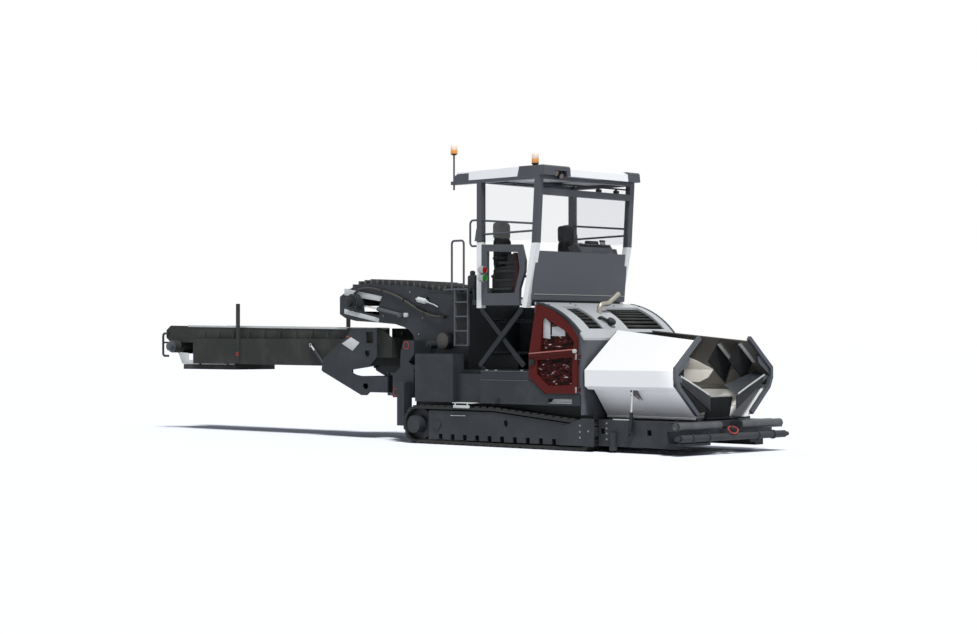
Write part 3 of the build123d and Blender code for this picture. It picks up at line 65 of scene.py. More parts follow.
def paint_value(red, green, blue):
    """Turn a screen colour of 0 to 255 into the linear values that a shader takes."""
    linear = []
    for part in (red, green, blue):
        share = part / 255
        linear.append(share / 12.92 if share <= 0.04045 else ((share + 0.055) / 1.055) ** 2.4)
    return (*linear, 1)


def add_node(tree, kind, **settings):
    """Add a node and set its properties and the values of its inputs."""
    node = tree.nodes.new(kind)
    for key, value in settings.items():
        if key in node.inputs:
            node.inputs[key].default_value = value
        else:
            setattr(node, key, value)
    return node


def linker(tree):
    """Give a function that links an output of one node to an input of another."""
    def link(source, output, target, entry):
        tree.links.new(source.outputs[output], target.inputs[entry])
    return link


def make_site_wear():
    """Build the group that lays dust, ground dirt and fine grain over a finish."""
    group = bpy.data.node_groups.new("site_wear", "ShaderNodeTree")
    tint, number = "NodeSocketColor", "NodeSocketFloat"
    for name, kind in (("Color", tint), ("Dust Color", tint), ("Dust", number), ("Ground", number),
                       ("Rough", number), ("Size", number)):
        group.interface.new_socket(name=name, in_out="INPUT", socket_type=kind)
    for name, kind in (("Color", tint), ("Roughness", number), ("Height", number)):
        group.interface.new_socket(name=name, in_out="OUTPUT", socket_type=kind)
    enter = add_node(group, "NodeGroupInput")
    leave = add_node(group, "NodeGroupOutput")
    place = add_node(group, "ShaderNodeTexCoord")
    link = linker(group)

    broad = add_node(group, "ShaderNodeTexNoise", Detail=6.0, Roughness=0.62)
    link(place, "Object", broad, "Vector")
    link(enter, "Size", broad, "Scale")
    patch = add_node(group, "ShaderNodeMapRange", interpolation_type="SMOOTHSTEP")
    patch.inputs["From Min"].default_value = dust_starts
    patch.inputs["From Max"].default_value = dust_full
    link(broad, "Fac", patch, "Value")
    dusted = add_node(group, "ShaderNodeMath", operation="MULTIPLY")
    link(patch, "Result", dusted, 0)
    link(enter, "Dust", dusted, 1)

    split = add_node(group, "ShaderNodeSeparateXYZ")
    link(place, "Object", split, "Vector")
    rise = add_node(group, "ShaderNodeMapRange")
    rise.inputs["From Min"].default_value = splash_top
    rise.inputs["From Max"].default_value = 0.0
    link(split, "Z", rise, "Value")
    splash = add_node(group, "ShaderNodeMath", operation="MULTIPLY")
    link(rise, "Result", splash, 0)
    link(broad, "Fac", splash, 1)
    ground = add_node(group, "ShaderNodeMath", operation="MULTIPLY")
    link(splash, "Value", ground, 0)
    link(enter, "Ground", ground, 1)
    total = add_node(group, "ShaderNodeMath", operation="ADD", use_clamp=True)
    link(dusted, "Value", total, 0)
    link(ground, "Value", total, 1)
    colour = add_node(group, "ShaderNodeMix", data_type="RGBA")
    link(total, "Value", colour, "Factor")
    link(enter, "Color", colour, "A")
    link(enter, "Dust Color", colour, "B")

    fine = add_node(group, "ShaderNodeTexNoise", Scale=grain_scale, Detail=3.0)
    link(place, "Object", fine, "Vector")
    spread = add_node(group, "ShaderNodeMapRange")
    spread.inputs["To Min"].default_value = -rough_swing
    spread.inputs["To Max"].default_value = rough_swing
    link(fine, "Fac", spread, "Value")
    rough = add_node(group, "ShaderNodeMath", operation="ADD", use_clamp=True)
    link(enter, "Rough", rough, 0)
    link(spread, "Result", rough, 1)
    dull = add_node(group, "ShaderNodeMath", operation="MULTIPLY_ADD", use_clamp=True)
    dull.inputs[1].default_value = dust_dulling
    link(total, "Value", dull, 0)
    link(rough, "Value", dull, 2)
    link(colour, "Result", leave, "Color")
    link(dull, "Value", leave, "Roughness")
    link(fine, "Fac", leave, "Height")
    return group


site_wear = make_site_wear()


def finish(name, colour, rough, dust=0.12, ground=0.0, size=1.6, metal=0.0, bump=0.03, coat=0.0,
           dust_colour=(150, 148, 142), gloss=0.5):
    """Make a material from one colour, with the shared wear over it."""
    material = bpy.data.materials.new(name)
    material.use_nodes = True
    tree = material.node_tree
    shader = tree.nodes["Principled BSDF"]
    shader.inputs["Metallic"].default_value = metal
    shader.inputs["Coat Weight"].default_value = coat
    shader.inputs["Specular IOR Level"].default_value = gloss
    wear = add_node(tree, "ShaderNodeGroup", node_tree=site_wear)
    wear.name = "wear"
    for key, value in (("Color", paint_value(*colour)), ("Dust Color", paint_value(*dust_colour)),
                       ("Dust", dust), ("Ground", ground), ("Rough", rough), ("Size", size)):
        wear.inputs[key].default_value = value
    raise_grain = add_node(tree, "ShaderNodeBump", Strength=bump, Distance=grain_depth)
    link = linker(tree)
    link(wear, "Color", shader, "Base Color")
    link(wear, "Roughness", shader, "Roughness")
    link(wear, "Height", raise_grain, "Height")
    link(raise_grain, "Normal", shader, "Normal")
    return material


def clear_pane(name, tint):
    """Make a glass material with a faint tint."""
    material = finish(name, tint, 0.02, dust=0.0, bump=0.0)
    shader = material.node_tree.nodes["Principled BSDF"]
    shader.inputs["Transmission Weight"].default_value = 1.0
    shader.inputs["IOR"].default_value = pane_ior
    return material


def lined_wing(name, outside, inside):
    """Make the wings' finish: painted outside and at the mouth, worn dark inside where the mix slides."""
    material = finish(name, outside, 0.36, dust=0.04, coat=0.2, dust_colour=(205, 203, 198))
    tree = material.node_tree
    link = linker(tree)
    place = add_node(tree, "ShaderNodeTexCoord")
    away = add_node(tree, "ShaderNodeVectorMath", operation="SUBTRACT")
    away.inputs[1].default_value = (0, 0, core_height)
    flat = add_node(tree, "ShaderNodeVectorMath", operation="MULTIPLY")
    flat.inputs[1].default_value = (0, 1, 1)
    facing = add_node(tree, "ShaderNodeVectorMath", operation="DOT_PRODUCT")
    side = add_node(tree, "ShaderNodeMath", operation="GREATER_THAN")
    side.inputs[1].default_value = outward_limit
    link(place, "Object", away, 0)
    link(away, "Vector", flat, 0)
    link(flat, "Vector", facing, 0)
    link(place, "Normal", facing, 1)
    link(facing, "Value", side, 0)

    axes = add_node(tree, "ShaderNodeSeparateXYZ")
    ahead = add_node(tree, "ShaderNodeMath", operation="GREATER_THAN")
    ahead.inputs[1].default_value = mouth_from_x
    below = add_node(tree, "ShaderNodeMath", operation="LESS_THAN")
    below.inputs[1].default_value = mouth_below_z
    mouth = add_node(tree, "ShaderNodeMath", operation="MULTIPLY")
    link(place, "Object", axes, "Vector")
    link(axes, "X", ahead, 0)
    link(axes, "Z", below, 0)
    link(ahead, "Value", mouth, 0)
    link(below, "Value", mouth, 1)

    either = add_node(tree, "ShaderNodeMath", operation="MAXIMUM")
    link(mouth, "Value", either, 0)
    link(side, "Value", either, 1)
    paint = add_node(tree, "ShaderNodeMix", data_type="RGBA")
    paint.inputs["A"].default_value = paint_value(*inside)
    paint.inputs["B"].default_value = paint_value(*outside)
    link(either, "Value", paint, "Factor")
    link(paint, "Result", tree.nodes["wear"], "Color")
    return material


def woven_mesh(name):
    """Make the door screens' finish: dark weave with maroon, and pale painted glints."""
    material = finish(name, (26, 17, 17), 0.5, dust=0.0, bump=0.2, gloss=0.05)
    tree = material.node_tree
    link = linker(tree)
    place = add_node(tree, "ShaderNodeTexCoord")
    stretch = add_node(tree, "ShaderNodeMapping")
    stretch.inputs["Scale"].default_value = (7, 7, 20)
    glint = add_node(tree, "ShaderNodeTexNoise", Scale=1.0, Detail=5.0, Roughness=0.7)
    ramp = add_node(tree, "ShaderNodeValToRGB")
    stops = ramp.color_ramp.elements
    stops[0].position = 0.46
    stops[0].color = paint_value(10, 8, 8)
    stops[1].position = 0.51
    stops[1].color = paint_value(84, 25, 23)
    # The last, pale stop is a painted glint on the weave
    for spot, colour in ((0.54, (11, 8, 8)), (0.585, (66, 20, 19)), (0.61, (14, 10, 10)),
                         (0.655, (205, 200, 196))):
        stops.new(spot).color = paint_value(*colour)
    link(place, "Object", stretch, "Vector")
    link(stretch, "Vector", glint, "Vector")
    link(glint, "Fac", ramp, "Fac")
    link(ramp, "Color", tree.nodes["wear"], "Color")
    return material


# Paints
dark_paint = finish("dark_paint", (41, 45, 49), 0.48, dust=0.05, ground=0.03, gloss=0.22)
canopy_paint = finish("canopy_paint", (64, 68, 73), 0.42, dust=0.04, gloss=0.35)
black_paint = finish("black_paint", (30, 32, 34), 0.5, dust=0.05, gloss=0.2)
flap_black = finish("flap_black", (22, 23, 25), 0.6, dust=0.03, gloss=0.08)
louvre_black = finish("louvre_black", (24, 25, 26), 0.6, dust=0.1, gloss=0.2)
panel_paint = finish("panel_paint", (72, 75, 80), 0.44, dust=0.04, gloss=0.35)
white_paint = finish("white_paint", (222, 224, 222), 0.36, dust=0.04, coat=0.2, dust_colour=(205, 203, 198))
wing_paint = lined_wing("wing_paint", (231, 231, 230), (92, 89, 84))
roof_white = finish("roof_white", (230, 231, 230), 0.30, dust=0.03, coat=0.3, dust_colour=(210, 209, 205))
hood_paint = finish("hood_paint", (161, 164, 167), 0.38, dust=0.06, coat=0.2)
maroon_paint = finish("maroon_paint", (79, 21, 17), 0.5, dust=0.03, gloss=0.12, dust_colour=(100, 52, 46))
trim_maroon = finish("trim_maroon", (52, 17, 18), 0.5, dust=0.03, gloss=0.15, dust_colour=(90, 50, 46))
# A lighter maroon, painted along the door bar's top as its highlight
highlight_maroon = finish("highlight_maroon", (150, 80, 72), 0.3, dust=0.05, coat=0.4,
                       dust_colour=(190, 140, 130))
edge_grey = finish("edge_grey", (136, 137, 134), 0.5, dust=0.15, size=5.0)
drum_brown = finish("drum_brown", (44, 39, 36), 0.55, dust=0.12, size=4.0)
red_mark = finish("red_mark", (150, 40, 36), 0.5, dust=0.05)

# Metals
track_steel = finish("track_steel", (30, 31, 31), 0.66, dust=0.16, ground=0.22, size=6.0, bump=0.3,
                     dust_colour=(70, 69, 66), gloss=0.3)
worn_steel = finish("worn_steel", (74, 75, 76), 0.42, dust=0.30, metal=0.5, size=9.0, bump=0.15,
                    dust_colour=(120, 118, 112))
roller_steel = finish("roller_steel", (68, 71, 74), 0.40, dust=0.15, metal=0.3, size=4.0)
bright_rod = finish("bright_rod", (205, 206, 208), 0.12, dust=0.0, metal=1.0, bump=0.0)
exhaust_steel = finish("exhaust_steel", (158, 153, 142), 0.32, dust=0.25, metal=0.6,
                       dust_colour=(140, 126, 108))
pale_steel = finish("pale_steel", (178, 181, 180), 0.42, dust=0.2, metal=0.2, size=7.0)
liner_steel = finish("liner_steel", (188, 192, 190), 0.45, dust=0.25, dust_colour=(160, 157, 149), size=2.2)
# The liners' pale steel, made paler still to stand in for light on the hopper's shaded liners
lit_liner_plate = finish("lit_liner_plate", (226, 223, 214), 0.5, dust=0.25, dust_colour=(186, 180, 168), size=2.2)
cup_steel = finish("cup_steel", (158, 160, 160), 0.3, dust=0.1, metal=0.6, size=12.0)
engine_iron = finish("engine_iron", (36, 37, 38), 0.6, dust=0.2)
mesh_weave = woven_mesh("mesh_weave")

# Rubber, cloth, lenses and glass
skirt_rubber = finish("skirt_rubber", (47, 49, 47), 0.72, dust=0.08, bump=0.12, gloss=0.15)
belt_rubber = finish("belt_rubber", (34, 34, 34), 0.75, dust=0.14, bump=0.2, gloss=0.2)
hose_cover = finish("hose_cover", (46, 43, 38), 0.6, dust=0.1, bump=0.1)
seat_cloth = finish("seat_cloth", (38, 39, 41), 0.85, dust=0.10, bump=0.25, size=8.0, gloss=0.2)
grey_cloth = finish("grey_cloth", (104, 104, 102), 0.85, dust=0.10, bump=0.25, size=8.0, gloss=0.2)
amber_lens = finish("amber_lens", (222, 142, 44), 0.18, dust=0.0, coat=0.6, dust_colour=(240, 190, 130))
pale_lens = finish("pale_lens", (238, 214, 196), 0.16, dust=0.1, coat=0.6, dust_colour=(240, 200, 160),
                   size=20.0)
lamp_glass = finish("lamp_glass", (92, 74, 60), 0.12, dust=0.3, coat=0.8, dust_colour=(92, 74, 58),
                    size=14.0)
red_lens = finish("red_lens", (150, 18, 20), 0.16, dust=0.0, coat=0.7)
green_lens = finish("green_lens", (22, 128, 26), 0.16, dust=0.0, coat=0.7)
pane_glass = clear_pane("pane_glass", (240, 241, 243))

node_finish = {
    dark_paint: ("main_frame", "track_frame_right", "track_frame_left", "side_box_right", "side_box_left",
                 "swing_mount", "front_frame", "tow_eye", "hopper_body", "conveyor_casing", "scissor_lower",
                 "scissor_upper", "platform_deck", "swivel_bracket", "tail_guard", "luff_barrel_right",
                 "luff_barrel_left", "head_drive"),
    canopy_paint: ("canopy_frame", "console_right", "console_left", "wing_rim_right", "wing_rim_left"),
    panel_paint: ("front_panel", "engine_housing", "ladder"),
    black_paint: ("wing_barrel_right", "wing_barrel_left"),
    flap_black: ("flap",),
    skirt_rubber: ("belt_frame",),
    white_paint: ("platform_frame",),
    wing_paint: ("wing_right", "wing_left"),
    roof_white: ("roof",),
    hood_paint: ("hood",),
    maroon_paint: ("engine_door_right", "engine_door_left"),
    track_steel: ("track_right", "track_left"),
    worn_steel: ("scraper_chain",),
    roller_steel: ("push_roller_right", "push_roller_left"),
    bright_rod: ("wing_rod_right", "wing_rod_left", "luff_rod_right", "luff_rod_left"),
    exhaust_steel: ("exhaust",),
    belt_rubber: ("belt", "tail_tray"),
    engine_iron: ("engine_block",),
    louvre_black: ("hood_louvres",),
    mesh_weave: ("door_mesh_right", "door_mesh_left"),
    seat_cloth: ("seat_right", "seat_left"),
    amber_lens: ("beacon_front", "beacon_rear"),
    pane_glass: ("side_pane_right", "side_pane_left", "windscreen"),
}
for material, names in node_finish.items():
    for name in names:
        nodes[name].data.materials.clear()
        nodes[name].data.materials.append(material)


def take(piece):
    """Select one piece alone and make it the one that operators act on."""
    bpy.ops.object.select_all(action="DESELECT")
    piece.select_set(True)
    bpy.context.view_layer.objects.active = piece


def added(name):
    """Name the piece that an operator has just added."""
    piece = bpy.context.object
    piece.name = name
    return piece


def fix_place():
    """Move the taken piece's place, turn and size into its mesh."""
    bpy.ops.object.transform_apply(location=True, rotation=True, scale=True)


def open_mesh():
    """Start to edit the taken piece's mesh, with all of it selected."""
    bpy.ops.object.mode_set(mode="EDIT")
    bpy.ops.mesh.select_all(action="SELECT")


def close_mesh():
    """Turn all faces of the edited mesh outward and end the editing."""
    bpy.ops.mesh.select_all(action="SELECT")
    bpy.ops.mesh.normals_make_consistent(inside=False)
    bpy.ops.object.mode_set(mode="OBJECT")


def rounded(piece, width):
    """Round a piece's sharp edges with an applied bevel."""
    take(piece)
    edge = piece.modifiers.new("edge", "BEVEL")
    edge.width = width
    edge.segments = 2
    edge.limit_method = "ANGLE"
    edge.angle_limit = sharp_angle
    bpy.ops.object.modifier_apply(modifier="edge")
    return piece


def settle(piece, material, body):
    """Fix a piece's place in its mesh, give it its finish and hang it on its body."""
    take(piece)
    fix_place()
    bpy.ops.object.shade_smooth_by_angle(angle=smooth_angle)
    piece.data.materials.clear()
    piece.data.materials.append(material)
    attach(piece, body)
    return piece


def left_twin(piece, name, body):
    """Copy a right-hand piece to the left side."""
    twin = piece.copy()
    twin.data = piece.data.copy()
    twin.name = name
    bpy.context.scene.collection.objects.link(twin)
    take(twin)
    twin.scale = (1, -1, 1)
    fix_place()
    open_mesh()
    close_mesh()
    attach(twin, body)


def settle_pair(piece, material, body):
    """Settle a right-hand piece and copy it to the left, on the left body where there is one."""
    settle(piece, material, body)
    left_twin(piece, piece.name.replace("_right", "_left"), body.replace("_right", "_left"))


def box_piece(name, low, high, edge):
    """Start a box between two corners and round its edges."""
    bpy.ops.object.select_all(action="DESELECT")
    centre = [(a + b) / 2 for a, b in zip(low, high)]
    bpy.ops.mesh.primitive_cube_add(size=1, location=centre, scale=[b - a for a, b in zip(low, high)])
    piece = added(name)
    fix_place()
    return rounded(piece, edge)


def plate_piece(name, outline, depth, edge=0.003):
    """Cut a plate from an outline of points in space, thicken it along depth and round its edges."""
    bpy.ops.object.select_all(action="DESELECT")
    bpy.ops.mesh.primitive_circle_add(vertices=len(outline), radius=1, fill_type="NGON")
    piece = added(name)
    for corner, spot in zip(piece.data.vertices, outline):
        corner.co = spot
    open_mesh()
    bpy.ops.mesh.extrude_region_move(TRANSFORM_OT_translate={"value": depth})
    close_mesh()
    return rounded(piece, edge)


def side_piece(name, outline, y, thickness, edge=0.003):
    """Cut a plate from X and Z points on a side plane; it grows outward, to the right for negative Y."""
    return plate_piece(name, [(x, y, z) for x, z in outline], (0, math.copysign(thickness, y), 0), edge)


def turned_piece(name, profile, foot, axis, steps=28):
    """Turn a profile of radius and height round an axis that starts at a foot."""
    bpy.ops.object.select_all(action="DESELECT")
    bpy.ops.mesh.primitive_circle_add(vertices=len(profile), radius=1, fill_type="NOTHING")
    piece = added(name)
    for corner, (radius, height) in zip(piece.data.vertices, profile):
        corner.co = (radius, 0, height)
    open_mesh()
    bpy.ops.mesh.spin(steps=steps, angle=2 * math.pi, center=(0, 0, 0), axis=(0, 0, 1))
    bpy.ops.mesh.select_all(action="SELECT")
    bpy.ops.mesh.remove_doubles(threshold=weld_gap)
    close_mesh()
    piece.rotation_euler = Vector(axis).to_track_quat("Z", "Y").to_euler()
    piece.location = foot
    fix_place()
    return piece


def bar_piece(name, start, end, radius, edge=0.004, sides=20):
    """Start a round bar between two points and round its ends."""
    run = Vector(end) - Vector(start)
    bpy.ops.object.select_all(action="DESELECT")
    bpy.ops.mesh.primitive_cylinder_add(vertices=sides, radius=radius, depth=run.length,
                                        location=(Vector(start) + Vector(end)) / 2,
                                        rotation=run.to_track_quat("Z", "Y").to_euler())
    piece = added(name)
    fix_place()
    return rounded(piece, edge)


def pipe_piece(name, points, radius):
    """Lead a stiff pipe along a smooth line and make it a mesh."""
    bpy.ops.object.select_all(action="DESELECT")
    bpy.ops.curve.primitive_nurbs_path_add()
    piece = added(name)
    piece.data.splines.clear()
    spline = piece.data.splines.new("NURBS")
    spline.points.add(len(points) - 1)
    for handle, spot in zip(spline.points, points):
        handle.co = (*spot, 1)
    spline.order_u = 3
    spline.use_endpoint_u = True
    piece.data.bevel_depth = radius
    piece.data.bevel_resolution = 3
    piece.data.resolution_u = 6
    piece.data.use_fill_caps = True
    bpy.ops.object.convert(target="MESH")
    return bpy.context.object


def joined(name, parts):
    """Join parts to one piece."""
    take(parts[0])
    for part in parts:
        part.select_set(True)
    bpy.ops.object.join()
    parts[0].name = name
    return parts[0]


def spread_copies(name, pattern, places):
    """Copy a pattern by each move, each copy with its own mesh, and join them."""
    parts = []
    for place in places:
        twin = pattern.copy()
        twin.data = pattern.data.copy()
        bpy.context.scene.collection.objects.link(twin)
        twin.location = place
        take(twin)
        fix_place()
        parts.append(twin)
    bpy.data.objects.remove(pattern)
    return joined(name, parts)


def bolt(axis):
    """Model one bolt with its washer at the origin, its head along an axis."""
    foot = (0, 0, 0)
    washer = turned_piece("washer", ((0, 0), (0.017, 0), (0.017, 0.003), (0, 0.003)), foot, axis, steps=12)
    head = turned_piece("head", ((0, 0.003), (0.0105, 0.003), (0.0105, 0.010), (0.008, 0.012), (0, 0.012)),
                        foot, axis, steps=6)
    return joined("bolt", [washer, head])


def beacon(name, foot):
    """Model one beacon in its node's box: a dark foot, an amber lower lens and a pale dome."""
    low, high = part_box(f"beacon_{name}")
    radius = (high[0] - low[0]) / 2
    height = high[2] - low[2]
    middle = foot + (height - foot) * 0.45
    place = ((low[0] + high[0]) / 2, (low[1] + high[1]) / 2, low[2])

    def layer(part, profile, material):
        outline = [(radius * share, level) for share, level in profile]
        piece = turned_piece(f"beacon_{name}_{part}", outline, place, upward)
        return settle(piece, material, "platform")

    layer("foot", ((0, 0), (0.62, 0), (0.7, foot * 0.5), (0.98, foot * 0.8), (1, foot), (0, foot)),
          black_paint)
    amber = layer("amber", ((0, foot), (0.92, foot), (0.97, foot + 0.008), (0.95, middle - 0.006),
                            (0.9, middle), (0, middle)), amber_lens)
    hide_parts(f"beacon_{name}")
    layer("dome", ((0, middle), (0.9, middle), (0.95, middle + 0.008), (0.92, height - 0.018),
                   (0.8, height - 0.004), (0, height)), pale_lens)


def cushion(name, low, high, crown, channels, lean=0.0):
    """Model one pad: a finely divided cube drawn to a crowned, round-edged form with sewn channels."""
    roundness, flat_share, waist = 5, 0.82, 0.03
    seam_width, seam_depth = 0.045, 0.10
    bpy.ops.object.select_all(action="DESELECT")
    bpy.ops.mesh.primitive_cube_add(size=2)
    piece = added(name)
    open_mesh()
    bpy.ops.mesh.subdivide(number_cuts=14)
    bpy.ops.object.mode_set(mode="OBJECT")
    half = [(b - a) / 2 for a, b in zip(low, high)]
    middle = [(a + b) / 2 for a, b in zip(low, high)]
    thin = half.index(min(half))
    first, second = [axis for axis in range(3) if axis != thin]
    for corner in piece.data.vertices:
        share = list(corner.co)
        reach = sum(abs(value) ** roundness for value in share) ** (1 / roundness)
        share = [value / reach for value in share]
        fall = (1 - share[first] ** 2) * (1 - share[second] ** 2)
        sewn = sum(math.exp(-((share[second] - line) / seam_width) ** 2) for line in channels)
        share[thin] *= flat_share + crown * fall - seam_depth * sewn
        share[first] *= 1 - waist * (1 - share[second] ** 2)
        spot = [place + value * size for place, value, size in zip(middle, share, half)]
        spot[0] -= lean * (spot[2] - low[2])
        corner.co = spot
    take(piece)
    piece.modifiers.new("soft", "SUBSURF").levels = 1
    bpy.ops.object.modifier_apply(modifier="soft")
    return piece


def seat(side, back_cloth, shift):
    """Model one seat: bellows and pan under a padded cushion, back and head rest, and two arm rests."""
    low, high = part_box(f"seat_{side}")
    near, far = low[1], high[1]
    mid = (near + far) / 2
    pan_z = low[2] + 0.42
    seat_x = low[0] + 0.05
    back_x = seat_x + shift
    folds = [(0, 0)]
    for fold in range(5):
        folds += [(0.17, 0.02 + fold * 0.07), (0.13, 0.055 + fold * 0.07)]
    folds += [(0.16, 0.40), (0, 0.40)]
    bellows = turned_piece(f"seat_{side}_bellows", folds, (seat_x + 0.24, mid, low[2]), upward, steps=20)
    settle(bellows, black_paint, "platform")
    pan = box_piece(f"seat_{side}_pan", (seat_x + 0.01, near + 0.02, pan_z - 0.03),
                    (seat_x + 0.48, far - 0.02, pan_z + 0.015), edge=0.012)
    settle(pan, black_paint, "platform")
    pad = cushion(f"seat_{side}_cushion", (seat_x + 0.02, near + 0.01, pan_z + 0.005),
                  (seat_x + 0.49, far - 0.01, pan_z + 0.135), crown=0.24, channels=(-0.55, 0.55))
    settle(pad, seat_cloth, "platform")
    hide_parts(f"seat_{side}")
    back = cushion(f"seat_{side}_back", (back_x, near + 0.03, pan_z + 0.10),
                   (back_x + 0.11, far - 0.03, high[2] - 0.27), crown=0.24, channels=(-0.45, 0.1, 0.6),
                   lean=0.02)
    settle(back, seat_cloth, "platform")
    head_rest = cushion(f"seat_{side}_head_rest", (back_x - 0.015, mid - 0.20, high[2] - 0.31),
                        (back_x + 0.085, mid + 0.20, high[2] - 0.002), crown=0.22, channels=(0.0,),
                        lean=0.02)
    settle(head_rest, back_cloth, "platform")
    arms = []
    for y in (near + 0.005, far - 0.055):
        arms.append(box_piece("arm", (seat_x + 0.06, y, pan_z + 0.28),
                              (seat_x + 0.40, y + 0.05, pan_z + 0.33), edge=0.015))
        arms.append(box_piece("arm_post", (seat_x + 0.09, y + 0.01, pan_z),
                              (seat_x + 0.13, y + 0.04, pan_z + 0.29), edge=0.006))
    settle(joined(f"seat_{side}_arms", arms), black_paint, "platform")


def signal_lamp(name, level, lens):
    """Model one signal lamp on the right rear post: a bright cup with a coloured lens, on an arm."""
    place = (2.925, -1.318, level)
    cup = turned_piece(f"signal_{name}_cup", (
        (0, -0.10), (0.045, -0.10), (0.066, -0.07), (0.07, 0.03), (0.062, 0.034), (0.058, 0.012),
        (0, 0.012)), place, to_front, steps=24)
    settle(cup, cup_steel, "platform")
    disc = turned_piece(f"signal_{name}_lens", ((0, 0.012), (0.058, 0.012), (0.05, 0.028), (0, 0.036)),
                        place, to_front, steps=24)
    settle(disc, lens, "platform")
    arm = box_piece(f"signal_{name}_arm", (2.77, -1.30, level - 0.025), (2.86, -1.24, level + 0.025),
                    edge=0.006)
    settle(arm, dark_paint, "platform")


# Platform: beacons, seats and signal lamps
beacon("front", foot=0.045)
beacon("rear", foot=0.02)
seat("right", grey_cloth, shift=0.03)
seat("left", seat_cloth, shift=0.10)
signal_lamp("red", 3.055, red_lens)
signal_lamp("green", 2.915, green_lens)

# Work lamps at the roof's front corners, and small ones on a rail under the roof
lamp_aim = (0.96, -0.12, -0.25)
lamp_body = ((0, -0.06), (0.03, -0.06), (0.055, -0.03), (0.06, 0.015), (0.052, 0.02), (0.05, 0.008),
             (0, 0.008))
lamp_front = ((0, 0.008), (0.05, 0.008), (0.046, 0.014), (0, 0.018))
lamps, glasses = [], []
for place in ((4.230, -0.90, 4.672), (4.230, -0.77, 4.630), (4.257, 1.10, 4.70)):
    lamps.append(turned_piece("lamp", lamp_body, place, lamp_aim, steps=20))
    glasses.append(turned_piece("glass", lamp_front, place, lamp_aim, steps=20))
settle(joined("roof_lamps", lamps), black_paint, "platform")
settle(joined("roof_lamp_glass", glasses), lamp_glass, "platform")
rail = [bar_piece("rail", (4.10, -1.145, 4.505), (4.10, 1.145, 4.505), radius=0.014)]
for y in (-0.30, 0.35, 0.82):
    rail.append(box_piece("bracket", (4.085, y - 0.02, 4.43), (4.115, y + 0.02, 4.50), edge=0.005))
    rail.append(box_piece("lamp_box", (4.075, y - 0.055, 4.425), (4.135, y + 0.055, 4.475), edge=0.012))
settle(joined("under_roof_rail", rail), black_paint, "platform")

# Inside of the right and left consoles: a dark lining with shelves of controls, and a maroon edge
lining = [side_piece("lining", (
    (2.96, 2.60), (3.60, 2.60), (3.72, 3.05), (3.64, 3.30), (3.36, 3.33), (3.30, 3.12), (3.05, 3.10),
    (2.96, 2.95)), y=-1.132, thickness=0.012, edge=0.004)]
for shelf in range(4):
    lining.append(box_piece("shelf", (3.02 + shelf * 0.04, -1.185, 2.70 + shelf * 0.15),
                            (3.46 + shelf * 0.05, -1.145, 2.745 + shelf * 0.15), edge=0.01))
settle_pair(joined("console_lining_right", lining), black_paint, "platform")
console_trim = side_piece("console_trim_right", (
    (3.49, 2.64), (3.55, 2.64), (3.63, 3.02), (3.63, 3.10), (3.57, 3.34), (3.49, 3.34), (3.545, 3.06)),
    y=-1.144, thickness=0.04, edge=0.008)
settle_pair(console_trim, trim_maroon, "platform")

# Controls on top of the console behind the front panel
wheel_hub = (3.56, 0.36, 3.46)
controls = [
    box_piece("pod", (3.60, 0.20, 3.44), (3.80, 1.02, 3.53), edge=0.03),
    box_piece("screen", (3.62, 0.52, 3.52), (3.70, 0.82, 3.60), edge=0.018),
    turned_piece("wheel", ((0.13, -0.012), (0.15, -0.008), (0.155, 0.004), (0.15, 0.014), (0.13, 0.012)),
                 wheel_hub, (-0.55, 0, 0.83), steps=30),
    bar_piece("stalk", (3.66, 0.36, 3.38), wheel_hub, radius=0.02)]
lever_form = ((0, 0), (0.008, 0), (0.007, 0.06), (0.016, 0.07), (0.014, 0.095), (0, 0.10))
for lever in range(5):
    controls.append(turned_piece("lever", lever_form, (3.70, 0.87 + lever * 0.03, 3.525), (-0.2, 0, 1),
                                 steps=10))
settle(joined("operator_controls", controls), black_paint, "platform")

# Panel fold line, and the swung-out control pod behind the right rear post
fold = bar_piece("panel_fold", (3.985, -1.185, 2.622), (3.985, 1.185, 2.622), radius=0.007, edge=0.002,
                 sides=10)
settle(fold, edge_grey, "platform")
pod = joined("rear_pod", [
    box_piece("pod", (2.36, -1.165, 2.775), (2.565, -1.045, 2.985), edge=0.045),
    box_piece("pod_top", (2.40, -1.14, 2.97), (2.50, -1.07, 3.06), edge=0.03),
    bar_piece("stalk", (2.50, -1.10, 2.53), (2.49, -1.10, 2.80), radius=0.03)])
settle(pod, black_paint, "platform")

# Engine housing: hood trims along the arc, intake cap and its pipe, bolts
hood_centre_x, hood_centre_z, hood_radius = 3.8757, 0.8474, 1.6479


def hood_height(x):
    """Give the hood's height at a station."""
    return hood_centre_z + math.sqrt(hood_radius ** 2 - (x - hood_centre_x) ** 2)


stations = [4.10 + step * 0.07 for step in range(15)]
band = [(x, hood_height(x) + 0.007) for x in stations]
band += [(x, hood_height(x) - 0.045) for x in reversed(stations)]
hood_trim = side_piece("hood_trim_right", band, y=-1.205, thickness=0.053)
settle_pair(hood_trim, dark_paint, "chassis")
intake_x = 4.93
cap = turned_piece("intake_cap", (
    (0, 0), (0.045, 0), (0.045, 0.05), (0.075, 0.055), (0.08, 0.075), (0.075, 0.10), (0.05, 0.115),
    (0, 0.118)), (intake_x, -0.326, hood_height(intake_x) - 0.01), (0.64, 0, 0.77), steps=24)
settle(cap, black_paint, "chassis")
elbow = pipe_piece("intake_pipe", [(x, y, hood_height(x) + rise) for x, y, rise in (
    (intake_x, -0.34, 0.04), (4.90, -0.42, 0.06), (4.84, -0.46, 0.05), (4.80, -0.47, -0.02))], radius=0.028)
settle(elbow, black_paint, "chassis")
hood_bolts = spread_copies("hood_bolts", bolt((0.5, 0, 0.86)), [
    (x, y, hood_height(x)) for x in (4.20, 4.32) for y in (-1.18, -0.5, 0.5, 1.18)])
settle(hood_bolts, black_paint, "chassis")
